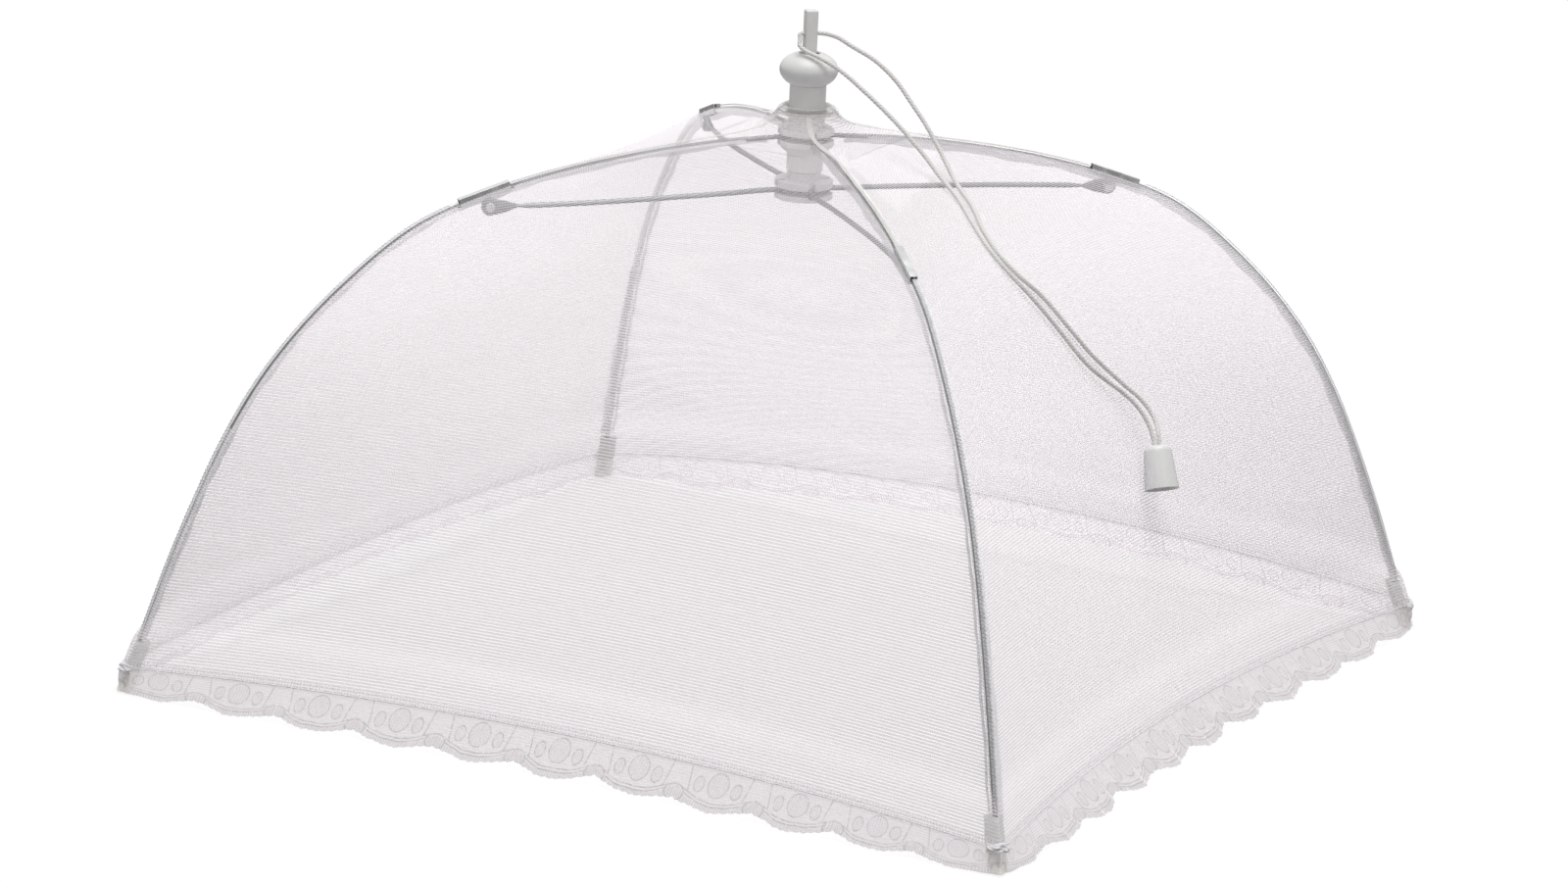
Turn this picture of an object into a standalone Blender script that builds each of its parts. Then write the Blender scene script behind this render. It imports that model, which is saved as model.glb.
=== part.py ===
"""Mesh food cover umbrella: four ribs, four stretchers, a pull rod and a net canopy.

The cover stands open on a table. The origin is the centre of its base, on the
table, with +Z up, the canopy's sides square to X and Y, and a rib in each corner.
Pulling the cord draws the square rod up through the outer tube, and the
stretchers on the lower hub push the ribs open. Lengths are in metres.
"""
import math

import bmesh
import bpy
from mathutils import Matrix, Vector

# Fits that many pieces share
GAP = 0.0003
MERGE_DISTANCE = 0.000001
OVERRUN = 0.002

# Places round the centre line, in degrees from +X
CORNERS = {"front": -45, "right": 45, "back": 135, "left": 225}
SIDES = {"front_right": 0, "back_right": 90, "back_left": 180, "front_left": 270}

# Rib wire, from its hinge on the upper hub to its tip in the corner pocket
TIP_SPACING = 0.3958
TIP_HEIGHT = 0.0025
HINGE_HEIGHT = 0.2235
RING_RADIUS = 0.0098
RIB_DIAMETER = 0.0019
RIB_STEP = 0.011
RIB_OUT_SHARES = (0, 0.112, 0.241, 0.352, 0.463, 0.556, 0.676, 0.741, 0.797, 0.849, 0.892, 0.932, 0.967, 1)
RIB_UP_SHARES = (1, 0.991, 0.970, 0.943, 0.904, 0.857, 0.744, 0.663, 0.575, 0.466, 0.351, 0.229, 0.109, 0)

# Eyes and the wire rings that they turn on
RING_WIRE = 0.0012
EYE_CLEARANCE = 0.00036
EYE_WALL = 0.0008

# Outer tube with the notched upper hub
TUBE_RADIUS = 0.0075
BORE_RADIUS = 0.0043
TUBE_DROP = 0.0142
COLLAR_RISE = 0.0216
SPIGOT_RADIUS = 0.0059
SPIGOT_HEIGHT = 0.0054
FLANGE_RADIUS = 0.0116
FLANGE_THICKNESS = 0.0067
FLANGE_CONE = 0.0038
GROOVE_WIDTH = 0.0025
SLOT_CLEARANCE = 0.00035

# Knob on top of the tube
KNOB_RADIUS = 0.0120
KNOB_HALF_HEIGHT = 0.0075
KNOB_LIFT = 0.0062
KNOB_STEPS = 9

# Square pull rod
ROD_SIDE = 0.0050
ROD_REACH = 0.0747
ROD_EDGE = 0.0006
CORD_HOLE_DROP = 0.0098
CORD_HOLE_RADIUS = 0.00125

# Lower hub, which slides under the tube
BOSS_RISE = 0.0077
LOWER_RING_RADIUS = 0.0100
LOWER_HUB_RADIUS = 0.0120
LOWER_HUB_HEIGHT = 0.0077
LOWER_HUB_DROP = 0.0035
BOSS_RADIUS = 0.0070
SOCKET_FLOOR = 0.0017

# Stretchers
STRETCHER_DIAMETER = 0.0022
STRETCHER_BEND_SHARES = (0.05, 0.17, 0.32)
STRETCHER_SWING_SHARES = (0.0, 0.55, 1.0)
NECK_LENGTH = 0.0110
NECK_HALF = 0.0008

# Folded steel clips on the ribs and their rivets
CLIP_DISTANCE = 0.1272
CLIP_LENGTH = 0.0220
CLIP_WALL = 0.0004
CLIP_SKIRT = 0.0014
CLIP_RISE = 0.0024
PIVOT_DROP = 0.0045
LUG_RADIUS = 0.0026
EYE_PLATE = 0.0012
EYE_PLATE_RADIUS = 0.0034
RIVET_RADIUS = 0.0010
RIVET_HEAD_RADIUS = 0.0020
RIVET_HEAD = 0.0006

# Net canopy
CLOTH = 0.0005
SEAM_OFFSET = 0.0022
SEAM_INSET = 0.00035
APEX_RISE = 0.0111
FLARE_REACH = 0.0500
FLARE_OUT_SHARES = (0, 0.08, 0.21, 0.43, 0.66)
FLARE_DROP_SHARES = (0, 0.29, 0.55, 0.73, 0.85)
HEM_HEIGHT = 0.0090
HEM_BOW = 0.0150
HEM_RISE = {"front_right": 0.0035, "back_right": 0.0180, "back_left": 0.0165, "front_left": 0.0045}
HEM_RISE_START_SHARE = 0.55
UPPER_ROWS = 3
LOWER_ROWS = 9
GORE_COLUMNS = 8

# Binding that gathers the net at the tube
BINDING_WIDTH = 0.0030
BINDING_HEIGHT = 0.0042

# Seam allowance that hangs beside each rib
BAND_THICKNESS = 0.0004
BAND_TOP = 0.0017
BAND_WIDTH = 0.0026
BAND_START = 0.0060
BAND_STEP = 0.015

# Corner pockets that hold the rib tips
POCKET_HEIGHT = 0.0210
POCKET_FLOOR = 0.0022
POCKET_OFFSET = 0.0038
POCKET_NOSE = 0.0021
POCKET_NOSE_HALF = 0.0007
POCKET_SHOULDER = 0.0020
POCKET_BACK = 0.0036
POCKET_HALF = 0.0039

# Lace along the hem
LACE_DROP = 0.0170
LACE_FLARE = {"front_right": 0.0135, "back_right": 0.0115, "back_left": 0.0115, "front_left": 0.0125}
LACE_CORNER_FLARE = 0.0020
LACE_FLAT_SHARE = 0.035
LACE_FULL_SHARE = 0.120
LACE_CLEARANCE = 0.0009
LACE_RUFFLE = 0.0016
LACE_NOTCH_SHARE = 0.17
LACE_WAVES = 11
LACE_COLUMNS = 55
LACE_ROW_SHARES = (0, 0.5, 1)

# Pull cord, folded through the rod, and the bell on its end
CORD_DIAMETER = 0.0018
CORD_STEP = 0.0045
CORD_RIGHT = (
    (0.0001, 0.0001, 0.2662), (0.0018, 0.0018, 0.2662), (0.0036, 0.0035, 0.2661),
    (0.0089, 0.0063, 0.2648), (0.0148, 0.0077, 0.2618), (0.0255, 0.0091, 0.2568),
    (0.0362, 0.0093, 0.2489), (0.0431, 0.0082, 0.2421), (0.0511, 0.0068, 0.2340),
    (0.0588, 0.0045, 0.2254), (0.0683, -0.0008, 0.2160), (0.0847, -0.0152, 0.2089),
    (0.0977, -0.0284, 0.2017), (0.1060, -0.0323, 0.1955), (0.1131, -0.0310, 0.1891),
    (0.1204, -0.0232, 0.1800), (0.1317, -0.0150, 0.1646), (0.1372, -0.0096, 0.1559),
    (0.1420, -0.0019, 0.1477), (0.1472, 0.0050, 0.1404), (0.1520, 0.0096, 0.1348),
    (0.1563, 0.0111, 0.1297), (0.1596, 0.0097, 0.1258), (0.1618, 0.0072, 0.1224),
    (0.1633, 0.0058, 0.1181), (0.1641, 0.0051, 0.1157),
)
CORD_LEFT = (
    (-0.0001, -0.0001, 0.2662), (-0.0018, -0.0018, 0.2662), (-0.0030, -0.0033, 0.2659),
    (-0.0025, -0.0040, 0.2645), (-0.0017, -0.0057, 0.2620), (0.0015, -0.0064, 0.2602),
    (0.0065, -0.0064, 0.2587), (0.0132, -0.0060, 0.2562), (0.0189, -0.0054, 0.2531),
    (0.0283, -0.0050, 0.2469), (0.0385, -0.0049, 0.2397), (0.0500, -0.0052, 0.2307),
    (0.0582, -0.0063, 0.2240), (0.0660, -0.0086, 0.2178), (0.0759, -0.0139, 0.2126),
    (0.0919, -0.0279, 0.2049), (0.1041, -0.0356, 0.1972), (0.1132, -0.0362, 0.1896),
    (0.1200, -0.0324, 0.1817), (0.1305, -0.0240, 0.1665), (0.1361, -0.0196, 0.1579),
    (0.1403, -0.0146, 0.1511), (0.1440, -0.0070, 0.1449), (0.1492, 0.0004, 0.1383),
    (0.1538, 0.0044, 0.1324), (0.1570, 0.0056, 0.1276), (0.1596, 0.0056, 0.1229),
    (0.1615, 0.0048, 0.1179), (0.1623, 0.0041, 0.1155),
)
BELL_TOP = (0.1624, 0.0053, 0.1180)
BELL_DIRECTION_SHARES = (0.30, -0.26, -0.918)
BELL_LENGTH = 0.0180
BELL_TOP_RADIUS = 0.0057
BELL_BOTTOM_RADIUS = 0.0071
BELL_WALL = 0.0012
BELL_HOLE = 0.0024
BELL_ROUND = 0.0028
BELL_ROUND_STEPS = 4
BELL_ROOF = 0.0026
BELL_STEPS = 24
KNOT_RADIUS = 0.0028
KNOT_STEPS = 12

# Steps round turned pieces
TURN_STEPS = 32
SMALL_TURN_STEPS = 16

# Sizes that follow from those above
DIAGONAL = math.sqrt(2)
TIP_REACH = TIP_SPACING / DIAGONAL
TUBE_BOTTOM = HINGE_HEIGHT - TUBE_DROP
COLLAR_TOP = HINGE_HEIGHT + COLLAR_RISE
APEX_HEIGHT = HINGE_HEIGHT + APEX_RISE
LOWER_HINGE_HEIGHT = TUBE_BOTTOM - GAP - BOSS_RISE
ROD_TOP = LOWER_HINGE_HEIGHT + ROD_REACH
RIB_RADIUS = RIB_DIAMETER / 2
EYE_HOLE = RING_WIRE / 2 + EYE_CLEARANCE
EYE_RADIUS = EYE_HOLE + EYE_WALL
CORE_RADIUS = RING_RADIUS - EYE_RADIUS - SLOT_CLEARANCE
CLIP_INSIDE = RIB_RADIUS + GAP
CLIP_HALF_WIDTH = CLIP_INSIDE + CLIP_WALL
PLATE_START = CLIP_HALF_WIDTH + GAP
APEX_RADIUS = TUBE_RADIUS + GAP + BINDING_WIDTH + GAP + CLOTH / 2
LOWER_HUB_BOTTOM = LOWER_HINGE_HEIGHT - LOWER_HUB_DROP

# Colours and finishes
FINISHES = {
    "white_plastic": ((0.90, 0.90, 0.89), 0.35, 0.0),
    "rod_plastic": ((0.84, 0.84, 0.82), 0.40, 0.0),
    "steel_wire": ((0.42, 0.43, 0.42), 0.30, 1.0),
    "clip_steel": ((0.62, 0.63, 0.62), 0.28, 1.0),
    "net": ((0.86, 0.84, 0.88), 0.80, 0.0),
    "lace": ((0.90, 0.88, 0.90), 0.85, 0.0),
    "seam_tape": ((0.92, 0.92, 0.93), 0.80, 0.0),
    "pocket_tape": ((0.80, 0.81, 0.79), 0.80, 0.0),
    "cord": ((0.88, 0.87, 0.83), 0.75, 0.0),
}


def clear_scene():
    """Remove whatever the scene holds."""
    for old in list(bpy.data.objects):
        bpy.data.objects.remove(old, do_unlink=True)


def finish(name):
    """The material of one finish, made once."""
    if name in bpy.data.materials:
        return bpy.data.materials[name]
    colour, roughness, metallic = FINISHES[name]
    material = bpy.data.materials.new(name)
    material.use_nodes = True
    shader = material.node_tree.nodes["Principled BSDF"]
    shader.inputs["Base Color"].default_value = (*colour, 1)
    shader.inputs["Roughness"].default_value = roughness
    shader.inputs["Metallic"].default_value = metallic
    return material


def link(name, data, parent=None):
    """A new object in the scene, under a parent if one is given."""
    thing = bpy.data.objects.new(name, data)
    bpy.context.collection.objects.link(thing)
    thing.parent = parent
    return thing


def piece(name, mesh, slot, parent=None, smooth_angle=40):
    """One named sub-part with its own material."""
    mesh.materials.clear()
    mesh.materials.append(finish(slot))
    mesh.shade_smooth()
    mesh.set_sharp_from_angle(angle=math.radians(smooth_angle))
    return link(name, mesh, parent)


def pivot(name, place, turn, parent=None):
    """An empty on a joint's axis, turned about Z."""
    empty = link(name, None, parent)
    empty.empty_display_size = RING_RADIUS
    empty.location = place
    empty.rotation_euler = (0, 0, math.radians(turn))
    return empty


def mesh_from(bm, name):
    """Close a bmesh into a mesh whose faces point outward."""
    bmesh.ops.recalc_face_normals(bm, faces=bm.faces)
    mesh = bpy.data.meshes.new(name)
    bm.to_mesh(mesh)
    bm.free()
    return mesh


def turned(name, profile, steps=TURN_STEPS):
    """A solid turned about Z from a closed outline of (radius, height) points."""
    bm = bmesh.new()
    points = [bm.verts.new((radius, 0, height)) for radius, height in profile]
    edges = [bm.edges.new(pair) for pair in zip(points, points[1:] + points[:1])]
    bmesh.ops.spin(
        bm, geom=points + edges, axis=(0, 0, 1), cent=(0, 0, 0),
        angle=math.tau, steps=steps, use_merge=True,
    )
    return mesh_from(bm, name)


def drum(name, radius, start, stop, axis, centre=(0, 0, 0), steps=SMALL_TURN_STEPS):
    """A round bar along a local axis, from start to stop."""
    bm = bmesh.new()
    bmesh.ops.create_cone(
        bm, cap_ends=True, segments=steps, radius1=radius, radius2=radius, depth=stop - start,
    )
    turn = Vector((0, 0, 1)).rotation_difference(Vector(axis)).to_matrix().to_4x4()
    middle = Vector(centre) + Vector(axis) * ((start + stop) / 2)
    bm.transform(Matrix.Translation(middle) @ turn)
    return mesh_from(bm, name)


def block(bm, low, high):
    """Add a box between two corners to a bmesh."""
    size = [top - bottom for bottom, top in zip(low, high)]
    middle = [(top + bottom) / 2 for bottom, top in zip(low, high)]
    shape = Matrix.Translation(middle) @ Matrix.Diagonal((*size, 1))
    bmesh.ops.create_cube(bm, size=1, matrix=shape)


def plate(name, outline, start, stop):
    """A flat plate in the local XZ plane, from start to stop along Y."""
    bm = bmesh.new()
    corners = [bm.verts.new((across, start, up)) for across, up in outline]
    face = bm.faces.new(corners)
    grown = bmesh.ops.extrude_face_region(bm, geom=[face])
    moved = [part for part in grown["geom"] if isinstance(part, bmesh.types.BMVert)]
    bmesh.ops.translate(bm, verts=moved, vec=(0, stop - start, 0))
    return mesh_from(bm, name)


def combine(name, base, joined=(), cut=()):
    """Join and cut meshes with exact booleans and return the result."""
    work = link(name, base)
    helpers = []
    for operation, meshes in (("UNION", joined), ("DIFFERENCE", cut)):
        for mesh in meshes:
            helper = link(name + "_tool", mesh)
            helpers.append(helper)
            step = work.modifiers.new(operation.lower(), "BOOLEAN")
            step.operation = operation
            step.solver = "EXACT"
            step.object = helper
    bpy.context.view_layer.update()
    shaped = work.evaluated_get(bpy.context.evaluated_depsgraph_get())
    result = bpy.data.meshes.new_from_object(shaped)
    result.name = name
    for spent in [work] + helpers:
        bpy.data.objects.remove(spent, do_unlink=True)
    return result


def solid_sheet(name, sheet, thickness):
    """Give a sheet its thickness, half to each side."""
    work = link(name, sheet)
    step = work.modifiers.new("thickness", "SOLIDIFY")
    step.thickness = thickness
    step.offset = 0
    bpy.context.view_layer.update()
    shaped = work.evaluated_get(bpy.context.evaluated_depsgraph_get())
    result = bpy.data.meshes.new_from_object(shaped)
    result.name = name
    bpy.data.objects.remove(work, do_unlink=True)
    bm = bmesh.new()
    bm.from_mesh(result)
    bmesh.ops.recalc_face_normals(bm, faces=bm.faces)
    bm.to_mesh(result)
    bm.free()
    return result


def grid_sheet(name, rows):
    """A sheet of quads through rows of points."""
    bm = bmesh.new()
    lines = [[bm.verts.new(point) for point in row] for row in rows]
    for upper, lower in zip(lines, lines[1:]):
        for left, right, low_left, low_right in zip(upper, upper[1:], lower, lower[1:]):
            bm.faces.new((left, right, low_right, low_left))
    return mesh_from(bm, name)


def smooth_path(route, step):
    """Points about one step apart on a smooth curve through the route."""
    route = [Vector(point) for point in route]
    chords = [(after - before).length for before, after in zip(route, route[1:])]
    slopes = [(route[1] - route[0]) / chords[0]]
    for index in range(1, len(route) - 1):
        before, after = chords[index - 1], chords[index]
        back = (route[index] - route[index - 1]) / before
        ahead = (route[index + 1] - route[index]) / after
        slopes.append((back * after + ahead * before) / (before + after))
    slopes.append((route[-1] - route[-2]) / chords[-1])
    points = [route[0]]
    for index, chord in enumerate(chords):
        count = max(1, round(chord / step))
        for number in range(1, count + 1):
            share = number / count
            square, cube = share ** 2, share ** 3
            points.append(
                route[index] * (2 * cube - 3 * square + 1)
                + slopes[index] * chord * (cube - 2 * square + share)
                + route[index + 1] * (3 * square - 2 * cube)
                + slopes[index + 1] * chord * (cube - square)
            )
    return points


def wire_curve(name, points, radius, sides=6):
    """A closed tube of a wire or cord along the points."""
    curve = bpy.data.curves.new(name, "CURVE")
    curve.dimensions = "3D"
    curve.bevel_depth = radius
    curve.bevel_resolution = (sides - 4) // 2
    curve.use_fill_caps = True
    run = curve.splines.new("POLY")
    run.points.add(len(points) - 1)
    for spot, point in zip(run.points, points):
        spot.co = (*point, 1)
    return curve


def wire_mesh(name, points, radius, sides=6):
    """The same tube as a mesh that booleans can use."""
    work = link(name, wire_curve(name, points, radius, sides))
    bpy.context.view_layer.update()
    shaped = work.evaluated_get(bpy.context.evaluated_depsgraph_get())
    tube = bpy.data.meshes.new_from_object(shaped)
    bpy.data.objects.remove(work, do_unlink=True)
    bm = bmesh.new()
    bm.from_mesh(tube)
    bmesh.ops.remove_doubles(bm, verts=bm.verts, dist=MERGE_DISTANCE)
    return mesh_from(bm, name)


def rib_route():
    """The rib wire's outline from the hinge, as (out, 0, up) points."""
    reach = TIP_REACH - RING_RADIUS
    rise = HINGE_HEIGHT - TIP_HEIGHT
    return [Vector((out * reach, 0, (up - 1) * rise)) for out, up in zip(RIB_OUT_SHARES, RIB_UP_SHARES)]


class Line:
    """A smooth line that can be read at any distance along it."""

    def __init__(self, route, step):
        self.points = smooth_path(route, step)
        self.marks = [0]
        for before, after in zip(self.points, self.points[1:]):
            self.marks.append(self.marks[-1] + (after - before).length)
        self.length = self.marks[-1]

    def at(self, distance):
        """The point at a distance from the start."""
        for index, (low, high) in enumerate(zip(self.marks, self.marks[1:])):
            if distance <= high:
                share = (distance - low) / (high - low)
                return self.points[index].lerp(self.points[index + 1], share)
        return self.points[-1]

    def outward(self, distance):
        """The direction square to the line, on the canopy's outer side."""
        reach = RIB_STEP / 2
        along = self.at(min(distance + reach, self.length)) - self.at(max(distance - reach, 0))
        return Vector((-along.z, 0, along.x)).normalized()

    def distance_at_height(self, height):
        """How far along the line it has come down to a height."""
        for index, (upper, lower) in enumerate(zip(self.points, self.points[1:])):
            if lower.z <= height:
                share = (height - upper.z) / (lower.z - upper.z)
                return self.marks[index] + share * (self.marks[index + 1] - self.marks[index])
        return self.length

    def distance_at_reach(self, reach):
        """How far along the line it has come out to a reach."""
        for index, (near, far) in enumerate(zip(self.points, self.points[1:])):
            if far.x >= reach:
                share = (reach - near.x) / (far.x - near.x)
                return self.marks[index] + share * (self.marks[index + 1] - self.marks[index])
        return self.length


RIB = Line(rib_route(), RIB_STEP / 4)
POCKET_TOP_DISTANCE = RIB.distance_at_height(POCKET_HEIGHT - HINGE_HEIGHT)
HEM_DISTANCE = RIB.distance_at_height(HEM_HEIGHT - HINGE_HEIGHT)
CLIP_CENTRE = RIB.at(CLIP_DISTANCE)
CLIP_OUTWARD = RIB.outward(CLIP_DISTANCE)
PIVOT = CLIP_CENTRE - CLIP_OUTWARD * PIVOT_DROP


def smooth_share(value, start, stop):
    """Zero before start, one after stop, and a smooth rise between."""
    share = min(1, max(0, (value - start) / (stop - start)))
    return share * share * (3 - 2 * share)


def canopy_rows():
    """The net's line over a rib: reach, height, edge inset and roundness of each row."""
    rows = []
    flare_start = RIB.distance_at_reach(FLARE_REACH - RING_RADIUS)
    flare_point = RIB.at(flare_start) + RIB.outward(flare_start) * SEAM_OFFSET
    flare_end = Vector((flare_point.x + RING_RADIUS, 0, flare_point.z + HINGE_HEIGHT))
    for out, drop in zip(FLARE_OUT_SHARES, FLARE_DROP_SHARES):
        reach = APEX_RADIUS + out * (flare_end.x - APEX_RADIUS)
        height = APEX_HEIGHT + drop * (flare_end.z - APEX_HEIGHT)
        rows.append((reach, height, SEAM_INSET, 1 - out * out))
    slit = CLIP_HALF_WIDTH + GAP + CLOTH / 2
    clip_start = CLIP_DISTANCE - CLIP_LENGTH / 2
    clip_stop = CLIP_DISTANCE + CLIP_LENGTH / 2 + slit + GAP
    marks = [
        (flare_start + (clip_start - slit - flare_start) * step / UPPER_ROWS, SEAM_INSET)
        for step in range(UPPER_ROWS + 1)
    ]
    marks += [(clip_start, slit), (clip_stop, slit)]
    pocket_start = POCKET_TOP_DISTANCE - GAP
    marks += [
        (clip_stop + slit + (pocket_start - clip_stop - slit) * step / LOWER_ROWS, SEAM_INSET)
        for step in range(LOWER_ROWS + 1)
    ]
    marks.append((HEM_DISTANCE, SEAM_INSET))
    for distance, inset in marks:
        swell = smooth_share(distance, pocket_start - POCKET_HEIGHT / 2, pocket_start)
        offset = SEAM_OFFSET + swell * (POCKET_OFFSET - SEAM_OFFSET)
        point = RIB.at(distance) + RIB.outward(distance) * offset
        rows.append((point.x + RING_RADIUS, point.z + HINGE_HEIGHT, inset, 0))
    return rows


def gore_point(row, across, rise):
    """A point of one side's net, where across runs from -1 to 1 between two ribs."""
    reach, height, inset, roundness = row
    half = reach / DIAGONAL
    hem_reach = TIP_REACH / DIAGONAL
    dome = 1 - across * across
    flat = Vector((half - HEM_BOW * half / hem_reach * dome, half * across, 0))
    angle = across * math.pi / 4
    round_point = Vector((reach * math.cos(angle), reach * math.sin(angle), 0))
    point = flat.lerp(round_point, roundness)
    point.y *= 1 - inset * DIAGONAL / half
    start = HINGE_HEIGHT * (1 - HEM_RISE_START_SHARE)
    low = smooth_share(start - height, 0, start - HEM_HEIGHT)
    point.z = height + rise * dome * low
    return point


def make_gore(side, turn):
    """One side panel of the net."""
    columns = [2 * column / GORE_COLUMNS - 1 for column in range(GORE_COLUMNS + 1)]
    points = [[gore_point(row, across, HEM_RISE[side]) for across in columns] for row in canopy_rows()]
    sheet = grid_sheet("gore_" + side, points)
    gore = piece("net_gore_" + side, solid_sheet("net_gore_" + side, sheet, CLOTH), "net")
    gore.rotation_euler.z = math.radians(turn)


def make_lace(side, turn):
    """The ruffled lace that hangs from one side's hem."""
    hem = canopy_rows()[-1]
    start = GAP + CLOTH / 2
    rows = [[] for share in LACE_ROW_SHARES]
    for column in range(LACE_COLUMNS + 1):
        across = 2 * column / LACE_COLUMNS - 1
        top = gore_point(hem, across, HEM_RISE[side])
        wave = math.pi * LACE_WAVES * (across + 1)
        body = smooth_share(1 - abs(across), LACE_FLAT_SHARE, LACE_FULL_SHARE)
        low = max(LACE_CLEARANCE + CLOTH / 2, top.z - LACE_DROP)
        flare = LACE_CORNER_FLARE + (LACE_FLARE[side] - LACE_CORNER_FLARE) * (1 - across ** 4)
        ruffle = LACE_RUFFLE * body * math.sin(wave)
        trim = 1 - LACE_NOTCH_SHARE * body * (1 + math.cos(wave)) / 2
        for line, row_share in zip(rows, LACE_ROW_SHARES):
            share = row_share * trim
            drop = start + (top.z - start - low) * share
            out = (flare + ruffle) * share
            spread = 1 + LACE_CORNER_FLARE * share / top.x
            line.append(Vector((top.x + out, top.y * spread, top.z - drop)))
    sheet = grid_sheet("lace_sheet", rows)
    lace = piece("lace_" + side, solid_sheet("lace_" + side, sheet, CLOTH), "lace")
    lace.rotation_euler.z = math.radians(turn)


def make_seam_band(corner, parent):
    """The folded seam allowance that hangs beside one rib."""
    stop = POCKET_TOP_DISTANCE - GAP - RIB_DIAMETER
    count = round((stop - BAND_START) / BAND_STEP)
    side = -(CLIP_HALF_WIDTH + GAP + BAND_THICKNESS / 2)
    rows = []
    for step in range(count + 1):
        distance = BAND_START + (stop - BAND_START) * step / count
        centre = RIB.at(distance)
        outward = RIB.outward(distance)
        upper = centre - outward * BAND_TOP
        lower = centre - outward * (BAND_TOP + BAND_WIDTH)
        rows.append([upper + Vector((0, side, 0)), lower + Vector((0, side, 0))])
    sheet = grid_sheet("seam_band", rows)
    piece("seam_band_" + corner, solid_sheet("seam_band", sheet, BAND_THICKNESS), "seam_tape", parent)


def eye(name, hole, wall, half_width):
    """A ring that turns on a wire along Y, centred on its hinge."""
    outline = []
    for step in range(SMALL_TURN_STEPS):
        angle = math.tau * step / SMALL_TURN_STEPS
        outline.append(((hole + wall) * math.cos(angle), (hole + wall) * math.sin(angle)))
    return plate(name, outline, -half_width, half_width)


def make_rib_mesh():
    """The rib wire with the eye that turns on the upper ring."""
    count = round(RIB.length / RIB_STEP)
    start = EYE_HOLE + EYE_WALL / 2
    points = [RIB.at(start + (RIB.length - start) * step / count) for step in range(count + 1)]
    wire = wire_mesh("rib_wire", points, RIB_RADIUS)
    ring = eye("rib_eye", EYE_HOLE, EYE_WALL, RIB_RADIUS)
    hole = drum("rib_eye_hole", EYE_HOLE, -RIB_DIAMETER, RIB_DIAMETER, (0, 1, 0))
    return combine("rib", ring, joined=(wire,), cut=(hole,))


def clip_place():
    """The clip's own frame: X along the rib, Z outward."""
    outward = CLIP_OUTWARD
    along = Vector((outward.z, 0, -outward.x))
    across = outward.cross(along)
    turn = Matrix((along, across, outward)).transposed().to_4x4()
    return Matrix.Translation(CLIP_CENTRE) @ turn


def make_clip_mesh():
    """A folded steel channel over the rib, with a lug down to the pivot."""
    half = CLIP_LENGTH / 2
    top = CLIP_RISE
    side = CLIP_INSIDE + CLIP_WALL / 2
    low = -CLIP_SKIRT
    lug = []
    for step in range(SMALL_TURN_STEPS // 2 + 1):
        angle = math.pi + math.pi * step / (SMALL_TURN_STEPS // 2)
        lug.append((LUG_RADIUS * math.cos(angle), LUG_RADIUS * math.sin(angle) - PIVOT_DROP))
    bm = bmesh.new()
    near = [bm.verts.new((end, -side, low)) for end in (-half, half)]
    near_top = [bm.verts.new((end, -side, top)) for end in (-half, half)]
    far_top = [bm.verts.new((end, side, top)) for end in (-half, half)]
    far = [bm.verts.new((end, side, low)) for end in (-half, half)]
    edge = [bm.verts.new((-LUG_RADIUS, side, low))]
    edge += [bm.verts.new((along, side, up)) for along, up in lug]
    edge.append(bm.verts.new((LUG_RADIUS, side, low)))
    bm.faces.new((near[0], near[1], near_top[1], near_top[0]))
    bm.faces.new((near_top[0], near_top[1], far_top[1], far_top[0]))
    bm.faces.new([far_top[0], far_top[1], far[1]] + edge[::-1] + [far[0]])
    bm.transform(clip_place())
    sheet = mesh_from(bm, "clip_sheet")
    folded = solid_sheet("clip_folded", sheet, CLIP_WALL)
    hole = drum("clip_hole", RIVET_RADIUS + GAP, 0, CLIP_HALF_WIDTH + OVERRUN, (0, 1, 0), PIVOT)
    return combine("rib_clip", folded, cut=(hole,))


def rivet_mesh(name, shank_start, shank_stop, head_side):
    """Half a rivet along Y: a shank with a flat round head on one end."""
    low, high = sorted((shank_start, shank_stop))
    if head_side > 0:
        head = (high, high + RIVET_HEAD)
        shank = (low, high + RIVET_HEAD / 2)
    else:
        head = (low - RIVET_HEAD, low)
        shank = (low - RIVET_HEAD / 2, high)
    stem = drum(name, RIVET_RADIUS, *shank, (0, 1, 0), steps=SMALL_TURN_STEPS)
    cap = drum(name, RIVET_HEAD_RADIUS, *head, (0, 1, 0), steps=SMALL_TURN_STEPS)
    return combine(name, cap, joined=(stem,))


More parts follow.
